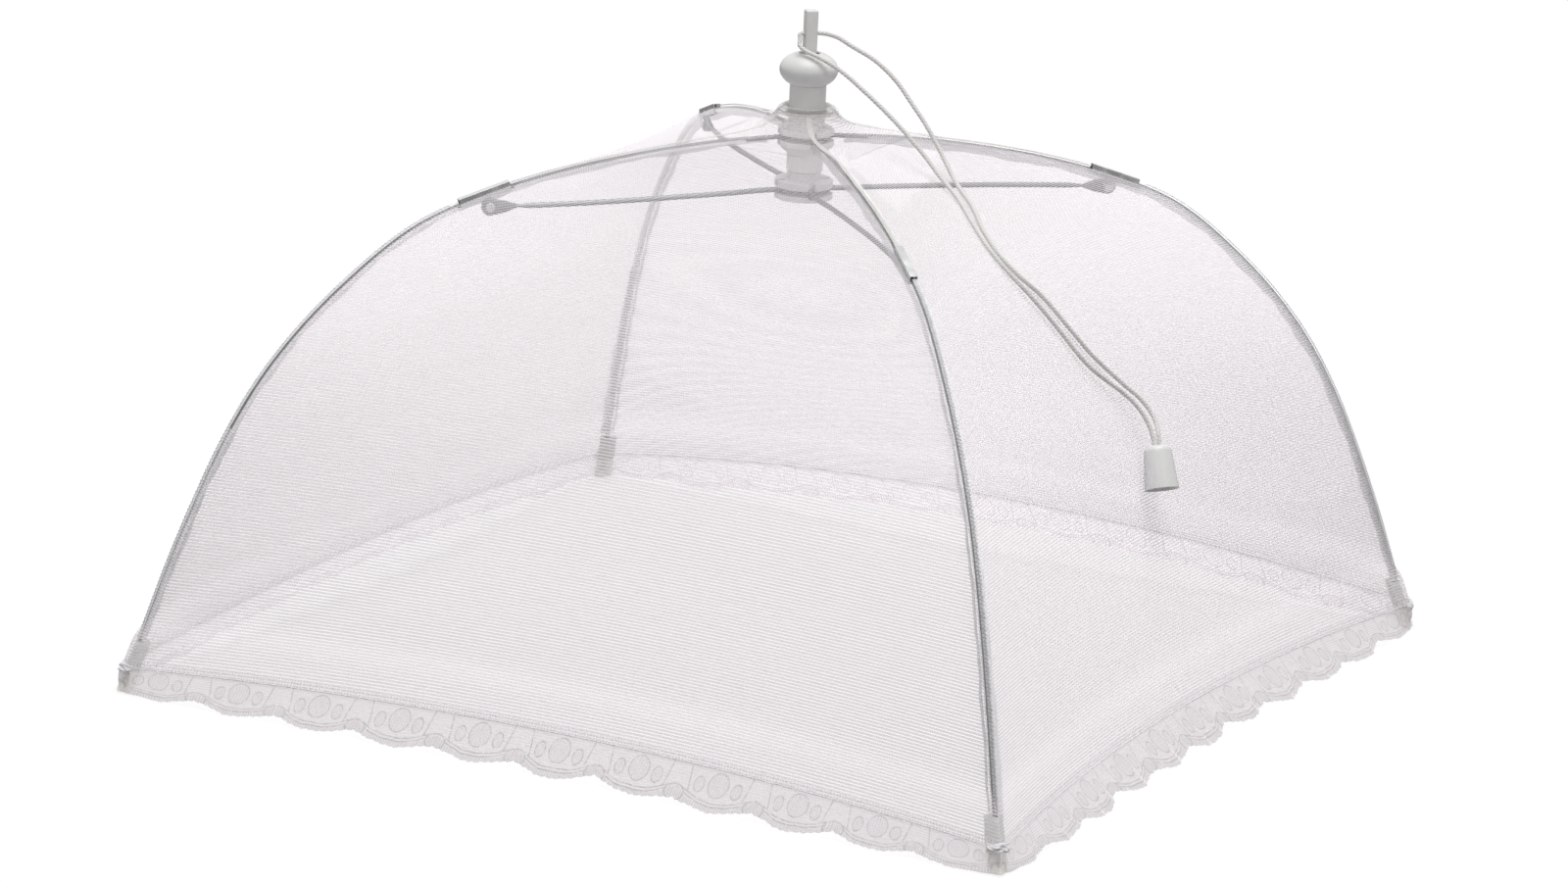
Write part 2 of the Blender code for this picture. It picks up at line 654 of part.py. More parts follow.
def make_pocket_mesh():
    """A wedge-shaped cloth pocket with a blind hole for the rib tip."""
    outline = [
        (POCKET_NOSE, POCKET_NOSE_HALF), (-POCKET_SHOULDER, POCKET_HALF), (-POCKET_BACK, POCKET_HALF),
        (-POCKET_BACK, -POCKET_HALF), (-POCKET_SHOULDER, -POCKET_HALF), (POCKET_NOSE, -POCKET_NOSE_HALF),
    ]
    top = RIB.at(POCKET_TOP_DISTANCE)
    slope = (RIB.at(RIB.length) - top) / (RIB.at(RIB.length).z - top.z)
    floor = top + slope * (-HINGE_HEIGHT - top.z)
    bm = bmesh.new()
    rings = []
    for centre in (floor, top):
        rings.append([bm.verts.new((centre.x + out, across, centre.z)) for out, across in outline])
    bm.faces.new(rings[0][::-1])
    bm.faces.new(rings[1])
    for index in range(len(outline)):
        after = (index + 1) % len(outline)
        bm.faces.new((rings[0][index], rings[0][after], rings[1][after], rings[1][index]))
    body = mesh_from(bm, "pocket_body")
    bottom = RIB.distance_at_height(POCKET_FLOOR - HINGE_HEIGHT)
    count = SMALL_TURN_STEPS // 4
    reach = POCKET_TOP_DISTANCE - OVERRUN
    points = [RIB.at(reach + (bottom - reach) * step / count) for step in range(count + 1)]
    end = points[-1] + (points[-1] - points[-2]).normalized() * GAP
    hole = wire_mesh("pocket_hole", points + [end], RIB_RADIUS + GAP, sides=8)
    return combine("tip_pocket", body, cut=(hole,))


def stretcher_vector():
    """From the lower hinge to the rib's pivot, in the rib's plane."""
    pivot_out = PIVOT.x + RING_RADIUS
    pivot_up = PIVOT.z + HINGE_HEIGHT
    return Vector((pivot_out - LOWER_RING_RADIUS, 0, pivot_up - LOWER_HINGE_HEIGHT))


def eye_outline(span):
    """The flattened end's outline: a round eye on a neck that fans out from the wire."""
    along = span.normalized()
    across = Vector((-along.z, 0, along.x))
    neck = math.acos((EYE_PLATE_RADIUS - NECK_HALF) / NECK_LENGTH)
    corners = []
    for step in range(SMALL_TURN_STEPS + 1):
        angle = (math.pi - neck) * (2 * step / SMALL_TURN_STEPS - 1)
        corners.append(span + (along * math.cos(angle) + across * math.sin(angle)) * EYE_PLATE_RADIUS)
    start = span - along * NECK_LENGTH
    corners += [start + across * NECK_HALF, start - across * NECK_HALF]
    return [(corner.x, corner.z) for corner in corners]


def make_stretcher_mesh():
    """A wire with an eye at the hub and a flattened, pierced outer end."""
    span = stretcher_vector()
    half = STRETCHER_DIAMETER / 2
    offset = PLATE_START + half
    route = [span.normalized() * (EYE_HOLE + EYE_WALL / 2)]
    for along, swing in zip(STRETCHER_BEND_SHARES, STRETCHER_SWING_SHARES):
        route.append(span * along + Vector((0, offset * swing, 0)))
    end = span - span.normalized() * (RIVET_HEAD_RADIUS + GAP)
    route.append(end + Vector((0, offset, 0)))
    wire = wire_mesh("stretcher_wire", smooth_path(route, RIB_STEP), half, sides=8)
    ring = eye("stretcher_eye", EYE_HOLE, EYE_WALL, half)
    hub_hole = drum("stretcher_eye_hole", EYE_HOLE, -STRETCHER_DIAMETER, STRETCHER_DIAMETER, (0, 1, 0))
    flat = plate("stretcher_flat", eye_outline(span), PLATE_START, PLATE_START + EYE_PLATE)
    pivot_hole = drum(
        "stretcher_hole", RIVET_RADIUS + GAP, PLATE_START - OVERRUN,
        PLATE_START + STRETCHER_DIAMETER + OVERRUN, (0, 1, 0), span,
    )
    return combine("stretcher", ring, joined=(wire, flat), cut=(hub_hole, pivot_hole))


def radial_slots(name, inner, outer, half_width, low, high):
    """Four boxes that cut slots in a hub, one for each corner."""
    bm = bmesh.new()
    for turn in CORNERS.values():
        slot = bmesh.new()
        block(slot, (inner, -half_width, low), (outer, half_width, high))
        slot.transform(Matrix.Rotation(math.radians(turn), 4, "Z"))
        part = bpy.data.meshes.new(name)
        slot.to_mesh(part)
        slot.free()
        bm.from_mesh(part)
        bpy.data.meshes.remove(part)
    return mesh_from(bm, name)


def make_outer_tube():
    """The tube, with the collar, the spigot for the knob and the notched hub."""
    groove_low = HINGE_HEIGHT - GROOVE_WIDTH / 2
    groove_high = HINGE_HEIGHT + GROOVE_WIDTH / 2
    flange_low = HINGE_HEIGHT - FLANGE_THICKNESS / 2
    flange_high = HINGE_HEIGHT + FLANGE_THICKNESS / 2
    groove = RING_RADIUS - RING_WIRE / 2 - GAP
    profile = [
        (BORE_RADIUS, TUBE_BOTTOM), (TUBE_RADIUS, TUBE_BOTTOM), (TUBE_RADIUS, flange_low - FLANGE_CONE),
        (FLANGE_RADIUS, flange_low), (FLANGE_RADIUS, groove_low), (groove, groove_low),
        (groove, groove_high), (FLANGE_RADIUS, groove_high), (FLANGE_RADIUS, flange_high),
        (TUBE_RADIUS, flange_high), (TUBE_RADIUS, COLLAR_TOP), (SPIGOT_RADIUS, COLLAR_TOP),
        (SPIGOT_RADIUS, COLLAR_TOP + SPIGOT_HEIGHT), (BORE_RADIUS, COLLAR_TOP + SPIGOT_HEIGHT),
    ]
    body = turned("outer_tube", profile)
    slots = radial_slots(
        "tube_slots", CORE_RADIUS, FLANGE_RADIUS + OVERRUN, RIB_RADIUS + SLOT_CLEARANCE,
        flange_low - FLANGE_CONE - OVERRUN, flange_high + OVERRUN,
    )
    return piece("outer_tube", combine("outer_tube", body, cut=(slots,)), "white_plastic")


def make_knob():
    """The flattened ball on top of the tube, with a hole for the rod."""
    low = COLLAR_TOP + GAP
    centre = COLLAR_TOP + KNOB_LIFT
    pocket = SPIGOT_RADIUS + GAP
    ceiling = COLLAR_TOP + SPIGOT_HEIGHT + GAP
    bottom_angle = math.asin((low - centre) / KNOB_HALF_HEIGHT)
    top_angle = math.acos(BORE_RADIUS / KNOB_RADIUS)
    profile = [(BORE_RADIUS, ceiling), (pocket, ceiling), (pocket, low)]
    for step in range(KNOB_STEPS + 1):
        angle = bottom_angle + (top_angle - bottom_angle) * step / KNOB_STEPS
        profile.append((KNOB_RADIUS * math.cos(angle), centre + KNOB_HALF_HEIGHT * math.sin(angle)))
    return piece("top_knob", turned("top_knob", profile), "white_plastic")


def ring_mesh(name, radius, height):
    """A round wire bent into a closed ring."""
    profile = []
    for step in range(SMALL_TURN_STEPS // 2):
        angle = math.tau * step / (SMALL_TURN_STEPS // 2)
        profile.append((radius + RING_WIRE / 2 * math.cos(angle), height + RING_WIRE / 2 * math.sin(angle)))
    return turned(name, profile)


def make_binding():
    """The cloth ring that gathers the net round the tube."""
    inner = TUBE_RADIUS + GAP
    outer = inner + BINDING_WIDTH
    middle = (inner + outer) / 2
    low = APEX_HEIGHT - BINDING_HEIGHT / 2
    high = APEX_HEIGHT + BINDING_HEIGHT / 2
    edge = BINDING_WIDTH / 2
    profile = [
        (inner, low + edge), (middle, low), (outer, low + edge),
        (outer, high - edge), (middle, high), (inner, high - edge),
    ]
    return piece("apex_binding", turned("apex_binding", profile), "seam_tape")


def make_lower_hub(slide):
    """The notched hub that slides on the pull rod's lower end."""
    groove_low = -GROOVE_WIDTH / 2
    groove_high = GROOVE_WIDTH / 2
    low = LOWER_HUB_BOTTOM - LOWER_HINGE_HEIGHT
    high = low + LOWER_HUB_HEIGHT
    boss = TUBE_BOTTOM - GAP - LOWER_HINGE_HEIGHT
    groove = LOWER_RING_RADIUS - RING_WIRE / 2 - GAP
    centre = ROD_SIDE / 2
    profile = [
        (centre, low), (LOWER_HUB_RADIUS, low), (LOWER_HUB_RADIUS, groove_low), (groove, groove_low),
        (groove, groove_high), (LOWER_HUB_RADIUS, groove_high), (LOWER_HUB_RADIUS, high),
        (BOSS_RADIUS, high), (BOSS_RADIUS, boss), (centre, boss),
    ]
    floor = drum("hub_floor", centre + OVERRUN, low, low + SOCKET_FLOOR, (0, 0, 1), steps=TURN_STEPS)
    bm = bmesh.new()
    socket = ROD_SIDE / 2 + GAP
    block(bm, (-socket, -socket, low + SOCKET_FLOOR), (socket, socket, boss + OVERRUN))
    bm.transform(Matrix.Rotation(math.pi / 4, 4, "Z"))
    square = mesh_from(bm, "hub_socket")
    core = LOWER_RING_RADIUS - EYE_RADIUS - SLOT_CLEARANCE
    half = STRETCHER_DIAMETER / 2
    slots = radial_slots(
        "hub_slots", core, LOWER_HUB_RADIUS + OVERRUN, half + SLOT_CLEARANCE,
        -EYE_RADIUS - SLOT_CLEARANCE, high + OVERRUN,
    )
    solid = combine("lower_hub", turned("lower_hub", profile), joined=(floor,), cut=(square, slots))
    return piece("lower_hub", solid, "white_plastic", slide)


def make_rod(slide):
    """The square pull rod, pierced near its top for the cord."""
    low = LOWER_HUB_BOTTOM + SOCKET_FLOOR + GAP - LOWER_HINGE_HEIGHT
    high = ROD_TOP - LOWER_HINGE_HEIGHT
    half = ROD_SIDE / 2
    bm = bmesh.new()
    block(bm, (-half, -half, low), (half, half, high))
    bmesh.ops.bevel(
        bm, geom=list(bm.edges), offset=ROD_EDGE, segments=2, profile=0.5, affect="EDGES",
    )
    body = mesh_from(bm, "rod_body")
    hole = drum(
        "rod_hole", CORD_HOLE_RADIUS, -ROD_SIDE, ROD_SIDE, (1, 0, 0), (0, 0, high - CORD_HOLE_DROP),
    )
    rod = piece("shaft_rod", combine("shaft_rod", body, cut=(hole,)), "rod_plastic", slide)
    rod.rotation_euler.z = math.pi / 4
    return rod


def make_bell():
    """The bell on the cord's end, hollow, with the knot inside."""
    neck = BELL_LENGTH - BELL_ROUND
    inner_top = BELL_TOP_RADIUS - BELL_WALL
    inner_bottom = BELL_BOTTOM_RADIUS - BELL_WALL
    roof = BELL_LENGTH - BELL_ROOF
    profile = [
        (BELL_HOLE, BELL_LENGTH), (BELL_HOLE, roof), (inner_top, roof),
        (inner_bottom, 0), (BELL_BOTTOM_RADIUS, 0),
    ]
    for step in range(BELL_ROUND_STEPS + 1):
        angle = math.pi / 2 * step / BELL_ROUND_STEPS
        reach = BELL_TOP_RADIUS - BELL_ROUND * (1 - math.cos(angle))
        profile.append((reach, neck + BELL_ROUND * math.sin(angle)))
    bell = piece("cord_bell", turned("cord_bell", profile, steps=BELL_STEPS), "white_plastic")
    knot_mesh = bpy.data.meshes.new("cord_knot")
    bm = bmesh.new()
    bmesh.ops.create_uvsphere(
        bm, u_segments=KNOT_STEPS, v_segments=SMALL_TURN_STEPS // 2, radius=KNOT_RADIUS,
    )
    bm.to_mesh(knot_mesh)
    bm.free()
    knot = piece("cord_knot", knot_mesh, "cord")
    direction = Vector(BELL_DIRECTION_SHARES).normalized()
    turn = (-direction).to_track_quat("Z", "Y").to_euler()
    bell.rotation_euler = turn
    bell.location = Vector(BELL_TOP) + direction * BELL_LENGTH
    knot.location = Vector(BELL_TOP) + direction * (BELL_ROOF + 2 * GAP + KNOT_RADIUS)
    return bell, knot


def make_cord(name, route):
    """One strand of the pull cord, from the rod's hole to the bell."""
    curve = wire_curve(name, smooth_path(route, CORD_STEP), CORD_DIAMETER / 2, sides=8)
    curve.materials.append(finish("cord"))
    return link(name, curve)


def hinge_place(radius, height, turn):
    """The place of a hinge on a ring, at one corner."""
    angle = math.radians(turn)
    return Vector((radius * math.cos(angle), radius * math.sin(angle), height))


def main():
    """Build the whole cover."""
    clear_scene()
    make_outer_tube()
    make_knob()
    make_binding()
    piece("upper_ring_wire", ring_mesh("upper_ring_wire", RING_RADIUS, HINGE_HEIGHT), "steel_wire")
    slide = pivot("shaft_slide", (0, 0, LOWER_HINGE_HEIGHT), 0)
    make_lower_hub(slide)
    make_rod(slide)
    piece("lower_ring_wire", ring_mesh("lower_ring_wire", LOWER_RING_RADIUS, 0), "steel_wire", slide)
    rib = make_rib_mesh()
    clip = make_clip_mesh()
    pocket = make_pocket_mesh()
    stretcher = make_stretcher_mesh()
    lug_face = CLIP_INSIDE - GAP
    head = rivet_mesh("rivet_head", lug_face, CLIP_HALF_WIDTH, -1)
    head.transform(Matrix.Translation(PIVOT))
    plate_end = PLATE_START + EYE_PLATE + GAP
    tail = rivet_mesh("rivet_tail", PLATE_START, plate_end, 1)
    tail.transform(Matrix.Translation(stretcher_vector()))
    for corner, turn in CORNERS.items():
        upper = pivot("rib_hinge_" + corner, hinge_place(RING_RADIUS, HINGE_HEIGHT, turn), turn)
        piece("rib_" + corner, rib.copy(), "steel_wire", upper)
        piece("rib_clip_" + corner, clip.copy(), "clip_steel", upper)
        piece("rivet_head_" + corner, head.copy(), "clip_steel", upper)
        piece("tip_pocket_" + corner, pocket.copy(), "pocket_tape", upper)
        make_seam_band(corner, upper)
        lower = pivot("stretcher_hinge_" + corner, hinge_place(LOWER_RING_RADIUS, 0, turn), turn, slide)
        piece("stretcher_" + corner, stretcher.copy(), "steel_wire", lower)
        piece("rivet_tail_" + corner, tail.copy(), "clip_steel", lower)
    for side, turn in SIDES.items():
        make_gore(side, turn)
        make_lace(side, turn)
    make_cord("pull_cord_right", CORD_RIGHT)
    make_cord("pull_cord_left", CORD_LEFT)
    make_bell()


main()
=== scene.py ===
"""Looks of the mesh food cover umbrella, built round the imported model.

Everything is in metres in the model's own frame: the origin is the centre of the
open cover's base, +Z is up, and a rib stands in each corner.
"""

import math

import bmesh
import bpy
from mathutils import Matrix, Vector


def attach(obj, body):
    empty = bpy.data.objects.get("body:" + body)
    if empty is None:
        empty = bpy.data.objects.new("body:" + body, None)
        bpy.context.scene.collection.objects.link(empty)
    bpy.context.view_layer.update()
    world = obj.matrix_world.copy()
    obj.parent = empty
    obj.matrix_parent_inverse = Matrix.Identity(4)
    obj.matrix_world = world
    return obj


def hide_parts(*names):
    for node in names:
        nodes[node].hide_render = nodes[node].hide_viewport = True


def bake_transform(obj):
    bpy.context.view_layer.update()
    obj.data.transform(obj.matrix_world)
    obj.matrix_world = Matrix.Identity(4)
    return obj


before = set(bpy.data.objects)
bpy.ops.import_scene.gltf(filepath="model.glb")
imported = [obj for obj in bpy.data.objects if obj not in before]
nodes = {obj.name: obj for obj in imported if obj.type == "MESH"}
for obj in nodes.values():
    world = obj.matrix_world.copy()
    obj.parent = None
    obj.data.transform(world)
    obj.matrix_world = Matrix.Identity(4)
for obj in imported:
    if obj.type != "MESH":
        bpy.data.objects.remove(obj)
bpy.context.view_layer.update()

# Camera, fitted to the photograph
CAMERA_PLACE = (1.29576, -2.52310, 0.87540)
CAMERA_RIGHT = (0.88277, 0.46787, 0.04247)
CAMERA_UP = (-0.16069, 0.21577, 0.96313)
FOCAL_PIXELS = 7263.3
IMAGE_PIXELS = 1600
SENSOR_MM = 36

# Places round the centre line, in degrees from +X
CORNERS = {"front": -45, "right": 45, "back": 135, "left": 225}
SIDES = {"front_right": 0, "back_right": 90, "back_left": 180, "front_left": 270}

# Each side's halves: the corner that it ends at, and whether it is the half that starts at a rib
HALVES = [
    (side, corner, start)
    for side, ends in zip(SIDES, zip(CORNERS, [*CORNERS][1:] + [*CORNERS][:1]))
    for corner, start in zip(ends, (True, False))
]

# Sizes of the solid model that the looks follow
GAP = 0.0003
TIP_REACH = 0.3958 / math.sqrt(2)
TIP_HEIGHT = 0.0025
HINGE_HEIGHT = 0.2235
RING_RADIUS = 0.0098
RIB_RADIUS = 0.00095
RIB_STEP = 0.011
RIB_OUT_SHARES = (0, 0.112, 0.241, 0.352, 0.463, 0.556, 0.676, 0.741, 0.797, 0.849, 0.892, 0.932, 0.967, 1)
RIB_UP_SHARES = (1, 0.991, 0.970, 0.943, 0.904, 0.857, 0.744, 0.663, 0.575, 0.466, 0.351, 0.229, 0.109, 0)
EYE_HOLE = 0.00096
EYE_WALL = 0.0008
TUBE_RADIUS = 0.0075
BORE_RADIUS = 0.0043
COLLAR_TOP = 0.2451
SPIGOT_RADIUS = 0.0059
SPIGOT_HEIGHT = 0.0054
KNOB_RADIUS = 0.0120
KNOB_HALF_HEIGHT = 0.0075
KNOB_LIFT = 0.0062
LOWER_HINGE_HEIGHT = 0.2013
LOWER_RING_RADIUS = 0.0100
STRETCHER_RADIUS = 0.0011
STRETCHER_BEND_SHARES = (0.05, 0.17, 0.32)
STRETCHER_SWING_SHARES = (0.0, 0.55, 1.0)
CLIP_DISTANCE = 0.1272
CLIP_LENGTH = 0.0220
CLIP_START = CLIP_DISTANCE - CLIP_LENGTH / 2 - GAP
CLIP_STOP = CLIP_DISTANCE + CLIP_LENGTH / 2 + GAP
CLIP_HALF_WIDTH = 0.00165
PLATE_START = 0.00195
PLATE_THICKNESS = 0.0012
EYE_PLATE_RADIUS = 0.0034
RIVET_HOLE = 0.0013
NECK_LENGTH = 0.0110
NECK_HALF = 0.0008
PIVOT_DROP = 0.0045
SEAM_OFFSET = 0.0022
APEX_HEIGHT = 0.2346
APEX_RADIUS = 0.01135
FLARE_REACH = 0.0500
FLARE_OUT_SHARES = (0, 0.08, 0.21, 0.43, 0.66)
FLARE_DROP_SHARES = (0, 0.29, 0.55, 0.73, 0.85)
HEM_HEIGHT = 0.0090
HEM_BOW = 0.0150
HEM_RISE = {"front_right": 0.0035, "back_right": 0.0180, "back_left": 0.0165, "front_left": 0.0045}
HEM_RISE_START_SHARE = 0.55
POCKET_HEIGHT = 0.0210
POCKET_OFFSET = 0.0038
LACE_DROP = 0.0170
LACE_FLARE = {"front_right": 0.0135, "back_right": 0.0115, "back_left": 0.0115, "front_left": 0.0125}
LACE_CORNER_FLARE = 0.0020
LACE_NOTCH_SHARE = 0.17
LACE_FLAT_SHARE = 0.035
LACE_FULL_SHARE = 0.120
LACE_FLOOR = 0.0006
CORD_DIAMETER = 0.0018

# The cord's route from the rod to the bell, as in the solid model
CORD_RIGHT = (
    (0.0001, 0.0001, 0.2662), (0.0018, 0.0018, 0.2662), (0.0036, 0.0035, 0.2661),
    (0.0089, 0.0063, 0.2648), (0.0148, 0.0077, 0.2618), (0.0255, 0.0091, 0.2568),
    (0.0362, 0.0093, 0.2489), (0.0431, 0.0082, 0.2421), (0.0511, 0.0068, 0.2340),
    (0.0588, 0.0045, 0.2254), (0.0683, -0.0008, 0.2160), (0.0847, -0.0152, 0.2089),
    (0.0977, -0.0284, 0.2017), (0.1060, -0.0323, 0.1955), (0.1131, -0.0310, 0.1891),
    (0.1204, -0.0232, 0.1800), (0.1317, -0.0150, 0.1646), (0.1372, -0.0096, 0.1559),
    (0.1420, -0.0019, 0.1477), (0.1472, 0.0050, 0.1404), (0.1520, 0.0096, 0.1348),
    (0.1563, 0.0111, 0.1297), (0.1596, 0.0097, 0.1258), (0.1618, 0.0072, 0.1224),
    (0.1633, 0.0058, 0.1181), (0.1641, 0.0051, 0.1157),
)
CORD_LEFT = (
    (-0.0001, -0.0001, 0.2662), (-0.0018, -0.0018, 0.2662), (-0.0030, -0.0033, 0.2659),
    (-0.0025, -0.0040, 0.2645), (-0.0017, -0.0057, 0.2620), (0.0015, -0.0064, 0.2602),
    (0.0065, -0.0064, 0.2587), (0.0132, -0.0060, 0.2562), (0.0189, -0.0054, 0.2531),
    (0.0283, -0.0050, 0.2469), (0.0385, -0.0049, 0.2397), (0.0500, -0.0052, 0.2307),
    (0.0582, -0.0063, 0.2240), (0.0660, -0.0086, 0.2178), (0.0759, -0.0139, 0.2126),
    (0.0919, -0.0279, 0.2049), (0.1041, -0.0356, 0.1972), (0.1132, -0.0362, 0.1896),
    (0.1200, -0.0324, 0.1817), (0.1305, -0.0240, 0.1665), (0.1361, -0.0196, 0.1579),
    (0.1403, -0.0146, 0.1511), (0.1440, -0.0070, 0.1449), (0.1492, 0.0004, 0.1383),
    (0.1538, 0.0044, 0.1324), (0.1570, 0.0056, 0.1276), (0.1596, 0.0056, 0.1229),
    (0.1615, 0.0048, 0.1179), (0.1623, 0.0041, 0.1155),
)


# Camera
def make_camera():
    """The camera at the photograph's place and angle."""
    data = bpy.data.cameras.new("camera")
    data.sensor_width = SENSOR_MM
    data.lens = FOCAL_PIXELS * SENSOR_MM / IMAGE_PIXELS
    data.clip_start = 0.05
    camera = link("camera", data)
    right = Vector(CAMERA_RIGHT).normalized()
    up = Vector(CAMERA_UP)
    up = (up - right * up.dot(right)).normalized()
    turn = Matrix((right, up, right.cross(up))).transposed().to_4x4()
    camera.matrix_world = Matrix.Translation(CAMERA_PLACE) @ turn
    bpy.context.scene.camera = camera


# Lines and surfaces of the cover
def smooth_path(route, step):
    """Points about one step apart on a smooth curve through the route."""
    route = [Vector(point) for point in route]
    chords = [(after - before).length for before, after in zip(route, route[1:])]
    slopes = [(route[1] - route[0]) / chords[0]]
    for index in range(1, len(route) - 1):
        before, after = chords[index - 1], chords[index]
        back = (route[index] - route[index - 1]) / before
        ahead = (route[index + 1] - route[index]) / after
        slopes.append((back * after + ahead * before) / (before + after))
    slopes.append((route[-1] - route[-2]) / chords[-1])
    points = [route[0]]
    for index, chord in enumerate(chords):
        count = max(1, round(chord / step))
        for number in range(1, count + 1):
            share = number / count
            square, cube = share ** 2, share ** 3
            points.append(
                route[index] * (2 * cube - 3 * square + 1)
                + slopes[index] * chord * (cube - 2 * square + share)
                + route[index + 1] * (3 * square - 2 * cube)
                + slopes[index + 1] * chord * (cube - square)
            )
    return points


class Line:
    """A smooth line that can be read at any distance along it."""

    def __init__(self, route, step):
        self.points = smooth_path(route, step)
        self.marks = [0]
        for before, after in zip(self.points, self.points[1:]):
            self.marks.append(self.marks[-1] + (after - before).length)
        self.length = self.marks[-1]

    def at(self, distance):
        """The point at a distance from the start."""
        for index, (low, high) in enumerate(zip(self.marks, self.marks[1:])):
            if distance <= high:
                share = (distance - low) / (high - low)
                return self.points[index].lerp(self.points[index + 1], share)
        return self.points[-1]

    def outward(self, distance):
        """The direction square to the line, on the canopy's outer side."""
        reach = RIB_STEP / 2
        along = self.at(min(distance + reach, self.length)) - self.at(max(distance - reach, 0))
        return Vector((-along.z, 0, along.x)).normalized()

    def where(self, axis, value, rising):
        """How far along the line one of its coordinates reaches a value."""
        for index, (near, far) in enumerate(zip(self.points, self.points[1:])):
            if far[axis] >= value if rising else far[axis] <= value:
                share = (value - near[axis]) / (far[axis] - near[axis])
                return self.marks[index] + share * (self.marks[index + 1] - self.marks[index])
        return self.length


RIB = Line(
    [
        (out * (TIP_REACH - RING_RADIUS), 0, (up - 1) * (HINGE_HEIGHT - TIP_HEIGHT))
        for out, up in zip(RIB_OUT_SHARES, RIB_UP_SHARES)
    ],
    RIB_STEP / 8,
)
POCKET_TOP = RIB.where(2, POCKET_HEIGHT - HINGE_HEIGHT, False)
HEM = RIB.where(2, HEM_HEIGHT - HINGE_HEIGHT, False)
FLARE_START = RIB.where(0, FLARE_REACH - RING_RADIUS, True)
PIVOT = RIB.at(CLIP_DISTANCE) - RIB.outward(CLIP_DISTANCE) * PIVOT_DROP


def smooth_share(value, start, stop):
    """Zero before start, one after stop, and a smooth rise between."""
    share = min(1, max(0, (value - start) / (stop - start)))
    return share * share * (3 - 2 * share)


def running_lengths(points):
    """The distance to each point of a flat line of points."""
    marks = [0]
    for before, after in zip(points, points[1:]):
        marks.append(marks[-1] + math.dist(before[:2], after[:2]))
    return marks


SEAM_INSET = 0.00012
WIRE_SLOT = 0.0011
CLIP_SLOT = CLIP_HALF_WIDTH * 1.15
HUG_OFFSET = 0.00135
HUG_START = 0.80


def canopy_row(distance, lift=0.0, offset=SEAM_OFFSET):
    """The net's line over a rib at a distance along the rib: reach, height, inset and roundness."""
    swell = smooth_share(distance, POCKET_TOP - GAP - POCKET_HEIGHT / 2, POCKET_TOP - GAP)
    out = offset + swell * (POCKET_OFFSET - offset) + lift
    point = RIB.at(distance) + RIB.outward(distance) * out
    near = abs(distance - CLIP_DISTANCE - CLIP_HALF_WIDTH / 2) - CLIP_LENGTH / 2
    slot = WIRE_SLOT * smooth_share(distance, FLARE_START, FLARE_START + RIB_STEP) * (1 - swell)
    at_clip = CLIP_SLOT * (1 - smooth_share(near, CLIP_HALF_WIDTH * 0.4, CLIP_HALF_WIDTH * 1.9))
    return (point.x + RING_RADIUS, point.z + HINGE_HEIGHT, SEAM_INSET + max(slot, at_clip), 0)


FLARE_END = canopy_row(FLARE_START)


def crown_rows(step):
    """The net's rows from the binding at the tube down to where it meets the ribs."""
    coarse = []
    for out, drop in zip(FLARE_OUT_SHARES, FLARE_DROP_SHARES):
        reach = APEX_RADIUS + out * (FLARE_END[0] - APEX_RADIUS)
        coarse.append((reach, 0, APEX_HEIGHT + drop * (FLARE_END[1] - APEX_HEIGHT)))
    after = canopy_row(FLARE_START + RIB_STEP)
    coarse += [(FLARE_END[0], 0, FLARE_END[1]), (after[0], 0, after[1])]
    rows = []
    for point in smooth_path(coarse, step):
        if point.x <= FLARE_END[0] + GAP / 100:
            out = (point.x - APEX_RADIUS) / (FLARE_END[0] - APEX_RADIUS)
            rows.append((point.x, point.z, SEAM_INSET, 1 - out * out))
    return rows


def gore_point(row, across, rise):
    """A point of one side's net, where across runs from -1 to 1 between two ribs."""
    reach, height, inset, roundness = row
    half = reach / math.sqrt(2)
    hem_reach = TIP_REACH / math.sqrt(2)
    dome = 1 - across * across
    flat = Vector((half - HEM_BOW * half / hem_reach * dome, half * across, 0))
    angle = across * math.pi / 4
    round_point = Vector((reach * math.cos(angle), reach * math.sin(angle), 0))
    point = flat.lerp(round_point, roundness)
    point.y *= 1 - inset * math.sqrt(2) / half
    start = HINGE_HEIGHT * (1 - HEM_RISE_START_SHARE)
    low = smooth_share(start - height, 0, start - HEM_HEIGHT)
    point.z = height + rise * dome * low
    return point


# Mesh helpers
def link(name, data):
    """A new object in the scene."""
    thing = bpy.data.objects.new(name, data)
    bpy.context.collection.objects.link(thing)
    return thing


def finish_mesh(name, bm, materials, smooth_angle=50, outward=True):
    """Turn a bmesh into a smooth-shaded object with its materials."""
    if outward:
        bmesh.ops.recalc_face_normals(bm, faces=bm.faces)
    mesh = bpy.data.meshes.new(name)
    bm.to_mesh(mesh)
    bm.free()
    for material in materials:
        mesh.materials.append(material)
    mesh.shade_smooth()
    mesh.set_sharp_from_angle(angle=math.radians(smooth_angle))
    return link(name, mesh)


def add_grid(bm, rows, uvs, material=0):
    """Add a sheet of quads with its texture places to a bmesh."""
    layer = bm.loops.layers.uv.verify()
    lines = [[bm.verts.new(point) for point in row] for row in rows]
    for upper, lower, upper_uv, lower_uv in zip(lines, lines[1:], uvs, uvs[1:]):
        for column in range(len(upper) - 1):
            corners = (upper[column], upper[column + 1], lower[column + 1], lower[column])
            places = (upper_uv[column], upper_uv[column + 1], lower_uv[column + 1], lower_uv[column])
            face = bm.faces.new(corners)
            face.material_index = material
            for loop, place in zip(face.loops, places):
                loop[layer].uv = place


